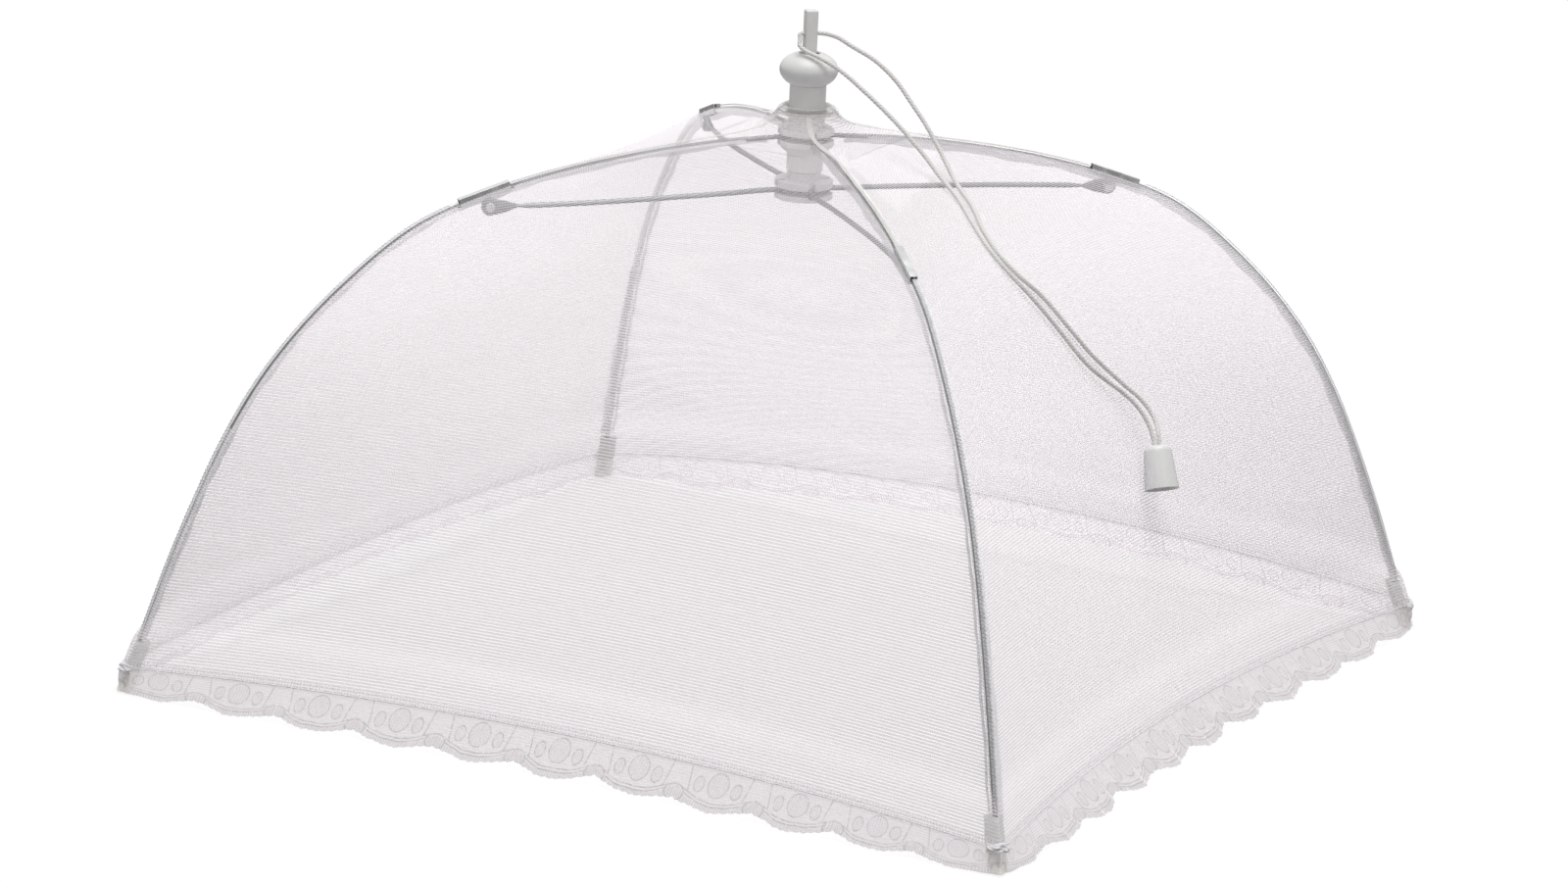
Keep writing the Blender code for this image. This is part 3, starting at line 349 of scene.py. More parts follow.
def frames_along(points):
    """A pair of side directions at each point of a path, turning as little as they can."""
    directions = []
    for index in range(len(points)):
        before = points[max(index - 1, 0)]
        after = points[min(index + 1, len(points) - 1)]
        directions.append((after - before).normalized())
    first = directions[0].orthogonal().normalized()
    pairs = []
    for direction in directions:
        first = (first - direction * first.dot(direction)).normalized()
        pairs.append((first, direction.cross(first)))
    return pairs


def bridge(bm, rings, close=False, material=0, place=None):
    """Join closed rings of points with quads. place gives a corner's texture place."""
    layer = bm.loops.layers.uv.verify()
    for index in range(len(rings) - (not close)):
        ring, above = rings[index], rings[(index + 1) % len(rings)]
        for part in range(len(ring)):
            after = (part + 1) % len(ring)
            face = bm.faces.new((ring[part], ring[after], above[after], above[part]))
            face.material_index = material
            if place:
                corners = ((index, part), (index, part + 1), (index + 1, part + 1), (index + 1, part))
                for loop, corner in zip(face.loops, corners):
                    loop[layer].uv = place(*corner)


def add_tube(bm, points, radius, sides=12, material=0, shape=None):
    """Add a tube along a path to a bmesh. shape changes the radius by distance and angle."""
    rings, marks = [], []
    distance = 0
    for index, (point, (side, up)) in enumerate(zip(points, frames_along(points))):
        if index:
            distance += (points[index] - points[index - 1]).length
        ring = []
        for corner in range(sides):
            angle = math.tau * corner / sides
            reach = radius * (shape(distance, angle) if shape else 1)
            ring.append(bm.verts.new(point + (side * math.cos(angle) + up * math.sin(angle)) * reach))
        rings.append(ring)
        marks.append(distance)
    bridge(bm, rings, material=material, place=lambda ring, part: (part / sides, marks[ring]))
    for cap in (rings[0][::-1], rings[-1]):
        bm.faces.new(cap).material_index = material


def lathe(bm, profile, steps=96):
    """Add a solid turned about Z from a closed outline of (radius, height) points."""
    points = [bm.verts.new((radius, 0, height)) for radius, height in profile]
    edges = [bm.edges.new(pair) for pair in zip(points, points[1:] + points[:1])]
    bmesh.ops.spin(
        bm, geom=points + edges, axis=(0, 0, 1), cent=(0, 0, 0),
        angle=math.tau, steps=steps, use_merge=True,
    )


def carry(piece, body, replaced=None):
    """Let a piece ride on a body and hide the solid that it stands for."""
    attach(piece, body)
    if replaced:
        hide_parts(replaced)


def hinge_frame(corner, radius=RING_RADIUS, height=HINGE_HEIGHT):
    """The place of a corner's hinge, with X outwards. It is the rib's hinge unless told otherwise."""
    turn = math.radians(CORNERS[corner])
    place = Vector((radius * math.cos(turn), radius * math.sin(turn), height))
    return Matrix.Translation(place) @ Matrix.Rotation(turn, 4, "Z")


# Materials
class Field:
    """A value in a material's node tree that plain arithmetic works on."""

    def __init__(self, tree, socket):
        self.tree = tree
        self.socket = socket

    def use(self, operation, *others):
        """A math node on this value and others."""
        node = self.tree.nodes.new("ShaderNodeMath")
        node.operation = operation
        for slot, value in zip(node.inputs, (self,) + others):
            if isinstance(value, Field):
                self.tree.links.new(value.socket, slot)
            else:
                slot.default_value = value
        return Field(self.tree, node.outputs[0])

    def __add__(self, other):
        return self.use("ADD", other)

    def __sub__(self, other):
        return self.use("SUBTRACT", other)

    def __mul__(self, other):
        return self.use("MULTIPLY", other)

    def low(self, other):
        """The smaller of two values."""
        return self.use("MINIMUM", other)

    def high(self, other):
        """The larger of two values."""
        return self.use("MAXIMUM", other)

    def away(self):
        """The value without its sign."""
        return self.use("ABSOLUTE")

    def rest(self):
        """What is left of one."""
        return self * -1.0 + 1.0

    def wave(self, period):
        """A wave from 0 to 1, which is 1 at each whole period."""
        return (self * (math.tau / period)).use("COSINE") * 0.5 + 0.5

    def part(self):
        """The part after the decimal point."""
        return self.use("FRACT")

    def ramp(self, start, stop, first=0.0, last=1.0):
        """A smooth change from first to last as this value goes from start to stop."""
        node = self.tree.nodes.new("ShaderNodeMapRange")
        node.interpolation_type = "SMOOTHSTEP"
        self.tree.links.new(self.socket, node.inputs["Value"])
        sizes = (("From Min", start), ("From Max", stop), ("To Min", first), ("To Max", last))
        for name, value in sizes:
            node.inputs[name].default_value = value
        return Field(self.tree, node.outputs["Result"])

    def drive(self, slot):
        """Link this value to a shader's slot."""
        self.tree.links.new(self.socket, slot)


def new_material(name, roughness=0.5, metallic=0.0):
    """A material with its tree and shader."""
    material = bpy.data.materials.new(name)
    material.use_nodes = True
    tree = material.node_tree
    shader = tree.nodes["Principled BSDF"]
    shader.inputs["Roughness"].default_value = roughness
    shader.inputs["Metallic"].default_value = metallic
    return material, tree, shader


def coordinates(tree):
    """The two values of a texture place."""
    source = tree.nodes.new("ShaderNodeTexCoord")
    split = tree.nodes.new("ShaderNodeSeparateXYZ")
    tree.links.new(source.outputs["UV"], split.inputs[0])
    return [Field(tree, socket) for socket in split.outputs[:2]]


def noise(tree, scale, detail=2, stretch=(1, 1, 1)):
    """A soft random field from 0 to 1 at a scale in repeats a metre."""
    source = tree.nodes.new("ShaderNodeTexCoord")
    mapping = tree.nodes.new("ShaderNodeMapping")
    mapping.inputs["Scale"].default_value = stretch
    texture = tree.nodes.new("ShaderNodeTexNoise")
    texture.inputs["Scale"].default_value = scale
    texture.inputs["Detail"].default_value = detail
    tree.links.new(source.outputs["Object"], mapping.inputs["Vector"])
    tree.links.new(mapping.outputs["Vector"], texture.inputs["Vector"])
    return Field(tree, texture.outputs[0])


def colour_between(tree, shader, first, last, share, slot="Base Color"):
    """Drive a shader's colour from first to last by a field."""
    node = tree.nodes.new("ShaderNodeMix")
    node.data_type = "RGBA"
    node.inputs["A"].default_value = (*first, 1)
    node.inputs["B"].default_value = (*last, 1)
    share.drive(node.inputs["Factor"])
    tree.links.new(node.outputs["Result"], shader.inputs[slot])


def bump(tree, shader, height, distance, strength=1.0):
    """Roughen the surface by a height field."""
    node = tree.nodes.new("ShaderNodeBump")
    node.inputs["Strength"].default_value = strength
    node.inputs["Distance"].default_value = distance
    height.drive(node.inputs["Height"])
    tree.links.new(node.outputs["Normal"], shader.inputs["Normal"])


THREAD_LEAN = 0.9
THREAD_SIDE = 0.22


def vector_node(tree, operation, source, target=None):
    """A vector math node between two sockets."""
    node = tree.nodes.new("ShaderNodeVectorMath")
    node.operation = operation
    tree.links.new(source, node.inputs[0])
    if target:
        tree.links.new(node.outputs[0], target)
    return node


def add_shaders(tree, first, second, output):
    """Show the sum of two shaders on the surface."""
    both = tree.nodes.new("ShaderNodeAddShader")
    tree.links.new(first.outputs[0], both.inputs[0])
    tree.links.new(second.outputs[0], both.inputs[1])
    tree.links.new(both.outputs[0], output.inputs["Surface"])


def light_threads(tree, shader, alpha, reflect, through, lean_up=THREAD_LEAN, sideways=THREAD_SIDE):
    """Light the cloth as round threads are lit: from above, and through from the other side."""
    normal = tree.nodes.new("ShaderNodeNewGeometry").outputs["Normal"]
    passing = tree.nodes.new("ShaderNodeBsdfTranslucent")
    for lean, target in ((lean_up, shader), (-lean_up, passing)):
        bent = vector_node(tree, "MULTIPLY_ADD", normal)
        bent.inputs[1].default_value = (sideways, sideways, sideways)
        bent.inputs[2].default_value = (0, 0, lean)
        vector_node(tree, "NORMALIZE", bent.outputs[0], target.inputs["Normal"])
    source = shader.inputs["Base Color"].links[0].from_socket
    (alpha * through).drive(vector_node(tree, "SCALE", source, passing.inputs["Color"]).inputs["Scale"])
    vector_node(tree, "SCALE", source, shader.inputs["Base Color"]).inputs["Scale"].default_value = reflect
    add_shaders(tree, shader, passing, tree.nodes["Material Output"])
    alpha.drive(shader.inputs["Alpha"])


def net_threads(u, v, width, height):
    """How much of a fine knitted net is thread at a place, from 0 to 1."""
    rows = v.wave(height)
    lean = v * (width / height * 0.5)
    right = (u + lean).wave(width)
    left = (u - lean).wave(width)
    return rows * 0.72 + right.high(left) * 0.28


NET_HIGH = (0.715, 0.681, 0.708)
NET_LOW_PAINTED_LIGHT = (0.90, 0.858, 0.89)
NET_BASE = 0.10
NET_THREADS = 0.60
LOOP_WIDTH = 0.0011
LOOP_HEIGHT = 0.0014


def make_net(name):
    """The sheer net: thread-shaped alpha, close where it is gathered at the top, and paler lower down as
    painted light that makes up for the canopy's own shade.
    """
    material, tree, shader = new_material(name, roughness=0.75)
    u, v = coordinates(tree)
    cloth = noise(tree, 22, 3)
    gathered = v.ramp(0.0, 0.0012, 1.0, 0.0)
    # Painted light: the threads grow paler from the top towards the hem, to make up for the canopy's shade on
    # its lower parts.
    shade = (cloth * 0.15 + v.ramp(0.04, 0.18, 0.0, 0.90)).low(1.0)
    colour_between(tree, shader, NET_HIGH, NET_LOW_PAINTED_LIGHT, shade)
    pattern = net_threads(u, v, LOOP_WIDTH, LOOP_HEIGHT).ramp(0.30, 0.80)
    alpha = pattern * NET_THREADS + (cloth - 0.5) * 0.05 + NET_BASE
    alpha = alpha.high(gathered * 0.90).low(1.0)
    shader.inputs["Specular IOR Level"].default_value = 0.1
    light_threads(tree, shader, alpha, reflect=0.79, through=0.66)
    return material


def oval(x, y, place, radii):
    """Distance from an oval's middle, which is 1 on its edge."""
    across = (x - place[0]) * (1 / radii[0])
    up = (y - place[1]) * (1 / radii[1])
    return (across * across + up * up).use("SQRT")


def thin(distance, half=0.16):
    """A thin line where a distance in millimetres is nought."""
    return distance.away().ramp(half, half * 2.6, 1.0, 0.0)


MOTIF_WIDTH_MM = 35.0


def make_lace(name):
    """Lace with hatched ovals, leaves, a double garland, bell shapes and a ribbed edge, in millimetres."""
    material, tree, shader = new_material(name, roughness=0.8)
    shader.inputs["Specular IOR Level"].default_value = 0.2
    u, y = coordinates(tree)
    x = (u.part() - 0.5) * MOTIF_WIDTH_MM
    side = x.away()
    hatch = (x + noise(tree, 260, 1) * 0.5).wave(1.15)
    medal = oval(x, y, (0, 6.2), (4.3, 4.9))
    leaf = oval(side, y, (8.2, 7.2), (2.1, 3.1))
    bell = oval(side, y, (17.5, 12.2), (4.3, 3.2))
    bow = side * (1 / 14.0)
    garland_line = bow.use("POWER", 2.4) * -3.4 + 13.2
    garland = thin(y - garland_line).high(thin(y - garland_line - 1.3)) * side.ramp(13.6, 14.4, 1.0, 0.0)
    stem_line = y * -0.16 + 13.6
    stems = thin(side - stem_line) * y.ramp(10.6, 11.4, 1.0, 0.0)
    border = (y - garland_line).ramp(1.4, 2.2).high(y.ramp(13.4, 14.4))
    filled = medal.ramp(0.94, 1.04, 1.0, 0.0)
    filled = filled.high(leaf.ramp(0.9, 1.05, 1.0, 0.0)).high(bell.ramp(0.9, 1.05, 1.0, 0.0))
    header = y.ramp(-0.3, 0.0, 1.0, 0.0)
    picot = x.wave(1.35) * (y.ramp(-3.0, -2.2) * 0.5 + 0.5)
    outline = thin((medal - 1.0) * 5.2).high(thin((leaf - 1.0) * 2.8)).high(thin((bell - 1.0) * 3.6))
    lines = outline.high(stems * y.ramp(0.0, 0.4)).high(garland)
    lines = lines * noise(tree, 700, 1).ramp(0.25, 0.6, 0.5, 1.0)
    ground = net_threads(x, y, 1.0, 1.2).ramp(0.3, 0.95) * 0.16 + 0.46
    alpha = ground.high(filled * (hatch * 0.22 + 0.46)).high(border * (hatch * 0.2 + 0.54))
    alpha = alpha * header.rest() + header * (picot * 0.18 + 0.14)
    alpha = alpha.high(lines * 0.74).low(1.0)
    shade = lines + (border * 0.34 + filled * 0.26) * hatch.rest()
    colour_between(tree, shader, (0.88, 0.845, 0.872), (0.52, 0.50, 0.515), shade.low(1.0))
    light_threads(tree, shader, alpha, reflect=0.44, through=0.84)
    return material


def make_sleeve(name):
    """The net's fold over a rib: clear over the wire and white along its edges."""
    material, tree, shader = new_material(name, roughness=0.8)
    u, v = coordinates(tree)
    edge = u.away().ramp(0.00055, 0.00100)
    rows = v.wave(0.0012)
    colour_between(tree, shader, (0.80, 0.79, 0.80), (0.93, 0.92, 0.94), edge)
    light_threads(tree, shader, edge * (rows * 0.2 + 0.5) + 0.10, reflect=0.85, through=0.5)
    return material


def make_plastic(name, light, dark, roughness):
    """Moulded plastic with a faint mottle and a fine skin."""
    material, tree, shader = new_material(name)
    mottle = noise(tree, 260, 3)
    colour_between(tree, shader, dark, light, mottle)
    mottle.ramp(0.2, 0.8, roughness - 0.06, roughness + 0.08).drive(shader.inputs["Roughness"])
    bump(tree, shader, noise(tree, 2600, 2), 0.00004, 0.5)
    return material


def make_steel(name, light, dark, roughness, stretch):
    """Drawn or rolled steel with streaks and small dull spots."""
    material, tree, shader = new_material(name, metallic=1.0)
    streak = noise(tree, 1.0, 3, stretch)
    colour_between(tree, shader, dark, light, streak)
    streak.ramp(0.25, 0.8, roughness - 0.08, roughness + 0.12).drive(shader.inputs["Roughness"])
    bump(tree, shader, noise(tree, 3000, 1), 0.00002, 0.4)
    return material


def make_cord_cloth(name):
    """Twisted cord with soft strands, and painted shade in the grooves between them."""
    material, tree, shader = new_material(name, roughness=0.85)
    u, v = coordinates(tree)
    twist = ((u + v * 200.0) * 3.0).part() - 0.5
    groove = twist.away().ramp(0.28, 0.5)
    fibre = noise(tree, 2400, 2)
    # Painted shade: the colour darkens in the grooves between the strands.
    colour_between(tree, shader, (0.90, 0.89, 0.87), (0.68, 0.67, 0.64), groove * 0.8 + fibre * 0.2)
    bump(tree, shader, fibre - groove, 0.00012, 0.8)
    shader.inputs["Sheen Weight"].default_value = 0.2
    return material


def make_tape(
    name, light, dark, period, alpha_range, through=0.45, lean_up=THREAD_LEAN, sideways=THREAD_SIDE,
):
    """Folded net or tape with close cross threads."""
    material, tree, shader = new_material(name, roughness=0.85)
    u, v = coordinates(tree)
    ribs = v.wave(period)
    legs = (u + v * 0.5).wave(period * 0.8)
    weave = ribs * 0.7 + legs * 0.3
    colour_between(tree, shader, dark, light, weave * 0.8 + noise(tree, 500, 2) * 0.2)
    light_threads(tree, shader, weave.ramp(0.2, 0.8, *alpha_range), 0.85, through, lean_up, sideways)
    return material


POCKET_SEAM = (0.0086, 0.0098)


def make_pocket_cloth(name):
    """Twill cloth that is greyer above the seam than below it."""
    material, tree, shader = new_material(name, roughness=0.85)
    u, v = coordinates(tree)
    twill = (u + v * 0.6).wave(0.0011)
    upper = v.ramp(*POCKET_SEAM)
    shade = upper * 0.72 + twill * 0.18 + noise(tree, 600, 2) * 0.10
    colour_between(tree, shader, (0.90, 0.89, 0.84), (0.60, 0.615, 0.60), shade)
    alpha = twill * 0.08 + upper * 0.24 + 0.60
    light_threads(tree, shader, alpha, reflect=0.98, through=0.5, lean_up=0.35, sideways=1.0)
    return material


GATHER_ROWS = 0.0012
GATHER_PLEATS = 56
GATHER_WAVES = 23


def make_gathered(name):
    """Net drawn together in fine upright folds, close at the tube and thinning below, with painted shade in
    the folds and near the tube.
    """
    material, tree, shader = new_material(name, roughness=0.85)
    u, v = coordinates(tree)
    # Painted shade: the colour is darker along the folds' creases and close to the tube, where the roll
    # shades the net.
    folds = (u * GATHER_PLEATS).wave(0.5) * 0.4 + (u * GATHER_WAVES + v * 60.0).wave(1.0) * 0.25
    folds = folds + noise(tree, 500, 2) * 0.35
    painted_shade_near_tube = v.ramp(0.0, 0.0050, 1.0, 0.0)
    colour_between(tree, shader, (0.90, 0.885, 0.87), (0.66, 0.65, 0.63), painted_shade_near_tube * 0.6 + folds * 0.22)
    near = v.ramp(0.0010, 0.0052, 0.96, 0.24)
    far = v.ramp(0.0045, 0.0110, 1.0, 0.0)
    rows = v.wave(GATHER_ROWS)
    alpha = near * far * (rows * v.ramp(0.003, 0.006, 0.0, 0.45) + v.ramp(0.003, 0.006, 1.0, 0.62))
    light_threads(tree, shader, alpha.low(1.0), reflect=0.86, through=0.5)
    return material


make_camera()

NET = make_net("net_cloth")
LACE = make_lace("lace_cloth")
THREAD = make_tape("seam_thread", (0.90, 0.89, 0.90), (0.76, 0.75, 0.76), 0.0015, (0.75, 1.0))
BAND = make_tape("seam_allowance_cloth", (0.88, 0.88, 0.89), (0.70, 0.70, 0.71), 0.0010, (0.5, 0.8))
CASING = make_tape(
    "wire_casing_cloth", (0.98, 0.975, 0.97), (0.93, 0.925, 0.92), 0.0011, (0.70, 0.88),
    through=0.9, lean_up=0.35, sideways=0.7,
)
SLEEVE = make_sleeve("rib_sleeve_cloth")
STITCH = make_tape("white_stitches", (0.93, 0.93, 0.93), (0.80, 0.80, 0.80), 0.0007, (0.97, 1.0))
SEAM = make_tape("crown_seam_tape", (0.84, 0.83, 0.80), (0.70, 0.69, 0.67), 0.0012, (0.72, 0.90))
FOLD = make_tape("folded_net", (0.92, 0.91, 0.93), (0.80, 0.79, 0.81), 0.0012, (0.62, 0.86))
POCKET = make_pocket_cloth("pocket_cloth")
WHITE = make_plastic("white_plastic_skin", (0.84, 0.84, 0.83), (0.79, 0.79, 0.78), 0.32)
TUBE = make_plastic("tube_plastic_skin", (0.91, 0.91, 0.89), (0.87, 0.87, 0.85), 0.36)
# Painted shade: a darker grey copy of the white plastic for the lower hub, which sits in the net's shade.
HUB_PAINTED_SHADE = make_plastic("hub_plastic_painted_shade", (0.76, 0.77, 0.76), (0.70, 0.71, 0.70), 0.40)
ROD = make_plastic("rod_plastic_skin", (0.86, 0.86, 0.84), (0.80, 0.80, 0.78), 0.42)
WIRE = make_steel("drawn_wire", (0.30, 0.31, 0.31), (0.17, 0.18, 0.18), 0.28, (900, 900, 60))
STRETCHER = make_steel("stretcher_wire_steel", (0.33, 0.36, 0.35), (0.20, 0.22, 0.215), 0.30, (700, 700, 60))
CLIP = make_steel("clip_sheet", (0.78, 0.79, 0.78), (0.58, 0.59, 0.59), 0.24, (200, 200, 200))
CORD = make_cord_cloth("cord_cloth")
GATHERED = make_gathered("gathered_net")


# The pull cord
STRANDS = 3
STRAND_DEPTH = 0.085
STRAND_TURN = 1250
CORD_STEP = 0.00045


def strand_shape(distance, angle):
    """Three strands twisted together."""
    return 1 + STRAND_DEPTH * math.cos(STRANDS * (angle - distance * STRAND_TURN))


def make_cord(name, route, node):
    """One run of the pull cord, from the rod to the bell."""
    line = smooth_path(route, CORD_STEP)
    bm = bmesh.new()
    add_tube(bm, line, CORD_DIAMETER / 2, sides=12, shape=strand_shape)
    cord = finish_mesh(name, bm, [CORD], 80)
    length = sum((after - before).length for before, after in zip(line, line[1:]))
    [tuple(point) for point in line[::4] + [line[-1]]]
    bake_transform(cord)
    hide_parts(node)


make_cord(
    "cord_run_right", CORD_RIGHT, "pull_cord_right",
)
make_cord("cord_run_left", CORD_LEFT, "pull_cord_left")


# The net
REST_SPAN = 0.105
CROWN_FADE = APEX_HEIGHT - FLARE_END[1] - 0.0006


def hold_between(cloth, corner, turn, low_half, crown=False):
    """Work out where the cloth's span from its rib into the panel starts and ends, and bake the cloth's place
    into its mesh.
    """
    angle = math.radians(turn + (45 if low_half else -45))
    into = Vector((math.cos(angle), math.sin(angle), 0))
    if crown:
        slope = into / REST_SPAN + Vector((0, 0, 1 / CROWN_FADE))
        start = slope * (FLARE_END[1] / CROWN_FADE / slope.length_squared)
        end = start + slope / slope.length_squared
    else:
        start = Vector((0, 0, 0))
        end = into * REST_SPAN
    "rib_" + corner
    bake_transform(cloth)


def half_columns(count, low_half):
    """Places across half a panel, from a rib to the middle or from the middle to a rib."""
    first = -1 if low_half else 0
    return [first + column / count for column in range(count + 1)]


def net_half(name, side, corner, low_half, rows, marks, columns, crown):
    """Half of one side's net, between a rib and the middle."""
    turn = SIDES[side]
    rise = HEM_RISE[side]
    swing = Matrix.Rotation(math.radians(turn), 4, "Z")
    points, uvs = [], []
    for (row, hugging), mark in zip(rows, marks):
        line, places = [], []
        for across in half_columns(columns, low_half):
            point = gore_point(row, across, rise)
            if crown:
                fold = math.cos(across * math.pi * PLEATS) * PLEAT_DEPTH * row[3] ** 2
                fold += 0.4 * PLEAT_DEPTH * math.sin(across * 9 + turn) * row[3]
                point.xy *= 1 + fold / row[0]
            else:
                hug = smooth_share(abs(across), HUG_START, 1)
                point = point.lerp(gore_point(hugging, across, rise), hug)
            line.append(swing @ point)
            places.append((point.y, mark))
        points.append(line)
        uvs.append(places)
    bm = bmesh.new()
    add_grid(bm, points, uvs)
    cloth = finish_mesh(name, bm, [NET], 180, outward=False)
    size = sum(face.area for face in cloth.data.polygons)
    hold_between(cloth, corner, turn, low_half, crown)
    return cloth, size


PLEATS = 14
PLEAT_DEPTH = 0.00028
CROWN_ROWS = crown_rows(0.0012)
CROWN_MARKS = running_lengths(CROWN_ROWS)
NET_COLUMNS = 30
CROWN_COLUMNS = 56
OUTER_COUNT = 84
OUTER_MARKS = [FLARE_START + (HEM - FLARE_START) * step / OUTER_COUNT for step in range(OUTER_COUNT + 1)]
OUTER_ROWS = []
for mark in OUTER_MARKS:
    hold = smooth_share(mark, FLARE_START, FLARE_START + RIB_STEP)
    hugging = SEAM_OFFSET + hold * (HUG_OFFSET - SEAM_OFFSET)
    OUTER_ROWS.append((canopy_row(mark), canopy_row(mark, offset=hugging)))
for side, corner, low_half in HALVES:
    cloth, size = net_half(
        f"net_{side}_at_{corner}", side, corner, low_half, OUTER_ROWS,
        [mark - FLARE_START + CROWN_MARKS[-1] for mark in OUTER_MARKS], NET_COLUMNS, False,
    )
    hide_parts("net_gore_" + side)
    "rib_" + corner
    crown, size = net_half(
        f"crown_{side}_at_{corner}", side, corner, low_half, [(row, row) for row in CROWN_ROWS],
        CROWN_MARKS, CROWN_COLUMNS, True,
    )


# The lace
LACE_MOTIFS = 11
LACE_COLUMNS = 264
LACE_ROWS = 12
HEADER = 0.0032
HEADER_LIFT = 0.00045
LACE_HEIGHT_MM = 17.0
LACE_STAND_OFF = 0.0004
SCALLOPS = 11
SEAM_THREAD_RADIUS = 0.00020


def uneven(number, seed):
    """A repeatable value from -1 to 1 that differs from lobe to lobe."""
    return math.sin(number * 12.9898 + seed * 78.233) * math.cos(number * 4.1414 + seed)


def lace_edge(motif, seed):
    """How much of its height the lace has at a place: lobes with small scallops."""
    lobe = math.floor(motif)
    inside = abs(math.sin(math.pi * motif))
    notch = (0.5 * (1 - inside) + 0.5 * (1 - inside * inside)) * (1 + 0.35 * uneven(round(motif), seed))
    scallop = abs(math.sin(math.pi * SCALLOPS * (motif - lobe)))
    return 1 - LACE_NOTCH_SHARE * notch - 0.028 * (1 - scallop) + 0.03 * inside * uneven(lobe, seed + 1)


def lace_half(name, side, corner, low_half):
    """Half of one side's gathered lace, with its heading over the seam."""
    turn = SIDES[side]
    rise = HEM_RISE[side]
    swing = Matrix.Rotation(math.radians(turn), 4, "Z")
    upper = [canopy_row(HEM - HEADER * share, HEADER_LIFT) for share in (1, 0.5)]
    hem = canopy_row(HEM)
    count = LACE_ROWS + len(upper)
    rows = [[] for _ in range(count + 1)]
    places = [[] for _ in range(count + 1)]
    seam = []
    for across in half_columns(LACE_COLUMNS, low_half):
        motif = (across + 1) / 2 * LACE_MOTIFS
        top = gore_point(hem, across, rise)
        for index, row in enumerate(upper):
            rows[index].append(gore_point(row, across, rise))
            places[index].append((motif, -1000 * HEADER * (1 - 0.5 * index)))
        body = smooth_share(1 - abs(across), LACE_FLAT_SHARE, LACE_FULL_SHARE)
        trim = 1 + body * (lace_edge(motif, turn) - 1)
        low = max(LACE_FLOOR, top.z - LACE_DROP)
        flare = LACE_CORNER_FLARE + (LACE_FLARE[side] - LACE_CORNER_FLARE) * (1 - across ** 4)
        lobe = abs(math.sin(math.pi * motif)) ** 0.8 - 0.6
        ruffle = 0.0017 * lobe * (1 + 0.5 * uneven(math.floor(motif), turn + 2))
        ruffle += 0.0005 * math.sin(math.tau * motif * 2.3 + turn) + 0.0003 * math.sin(math.tau * motif * 5.1)
        for index in range(LACE_ROWS + 1):
            share = index / LACE_ROWS * trim
            out = flare * share ** 1.1 + ruffle * body * share ** 1.4
            out -= smooth_share(abs(across), 0.955, 1) * 0.0022 * share * share
            spread = 1 + (LACE_STAND_OFF + out) / top.x * smooth_share(abs(across), 0.90, 1)
            place = Vector((top.x + LACE_STAND_OFF + out, top.y * spread, top.z - (top.z - low) * share))
            rows[index + len(upper)].append(place)
            places[index + len(upper)].append((motif, share * LACE_HEIGHT_MM))
        seam.append(swing @ (top + Vector((0.0007, 0, 0.0002))))
    bm = bmesh.new()
    add_grid(bm, [[swing @ point for point in row] for row in rows], places)
    add_tube(bm, seam[::2], SEAM_THREAD_RADIUS, sides=6, material=1)
    lace = finish_mesh(name, bm, [LACE, THREAD], 180, outward=False)
    size = sum(face.area for face in lace.data.polygons if face.material_index == 0)
    hold_between(lace, corner, turn, low_half)
    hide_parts("lace_" + side)


for side, corner, low_half in HALVES:
    lace_half(f"lace_{side}_at_{corner}", side, corner, low_half)


# Ribs, stretchers and what rides on them
EYE_STEPS = 28
EYE_SIDES = 10


def add_eye(bm, half_width):
    """Add the ring at a wire's hinge end to a bmesh."""
    rings = []
    inner, outer = EYE_HOLE, EYE_HOLE + EYE_WALL
    for step in range(EYE_STEPS):
        angle = math.tau * step / EYE_STEPS
        ring = []
        for part in range(EYE_SIDES):
            turn = math.tau * part / EYE_SIDES
            reach = (inner + outer) / 2 + (outer - inner) / 2 * math.cos(turn)
            across = half_width * math.sin(turn)
            ring.append(bm.verts.new((reach * math.cos(angle), across, reach * math.sin(angle))))
        rings.append(ring)
    bridge(bm, rings, close=True)


RIB_STEPS = 120


def make_rib(corner):
    """The rib's wire with its hinge eye."""
    bm = bmesh.new()
    start = EYE_HOLE + EYE_WALL / 2
    points = [RIB.at(start + (RIB.length - start) * step / RIB_STEPS) for step in range(RIB_STEPS + 1)]
    add_tube(bm, points, RIB_RADIUS, sides=14)
    add_eye(bm, RIB_RADIUS)
    bm.transform(hinge_frame(corner))
    rib = finish_mesh("rib_wire_" + corner, bm, [WIRE], 60)
    carry(rib, "rib_" + corner, "rib_" + corner)


def ring_outline(span, radius, steps):
    """Points round the flattened end: a round eye on a neck that fans out from the wire."""
    along = span.normalized()
    across = Vector((-along.z, 0, along.x))
    neck = math.acos((radius - NECK_HALF) / NECK_LENGTH)
    corners = []
    for step in range(steps + 1):
        angle = (math.pi - neck) * (2 * step / steps - 1)
        corners.append(span + (along * math.cos(angle) + across * math.sin(angle)) * radius)
    for side, share in ((1, 0.33), (1, 0.67), (1, 1), (-1, 1), (-1, 0.67), (-1, 0.33)):
        place = span + along * (-math.sin(neck) * radius * (1 - share) - NECK_LENGTH * share)
        half = math.sin(math.pi - neck) * radius * (1 - share) + NECK_HALF * share
        corners.append(place + across * (side * half))
    return corners


PLATE_STEPS = 32
PLATE_EASING = 0.00018


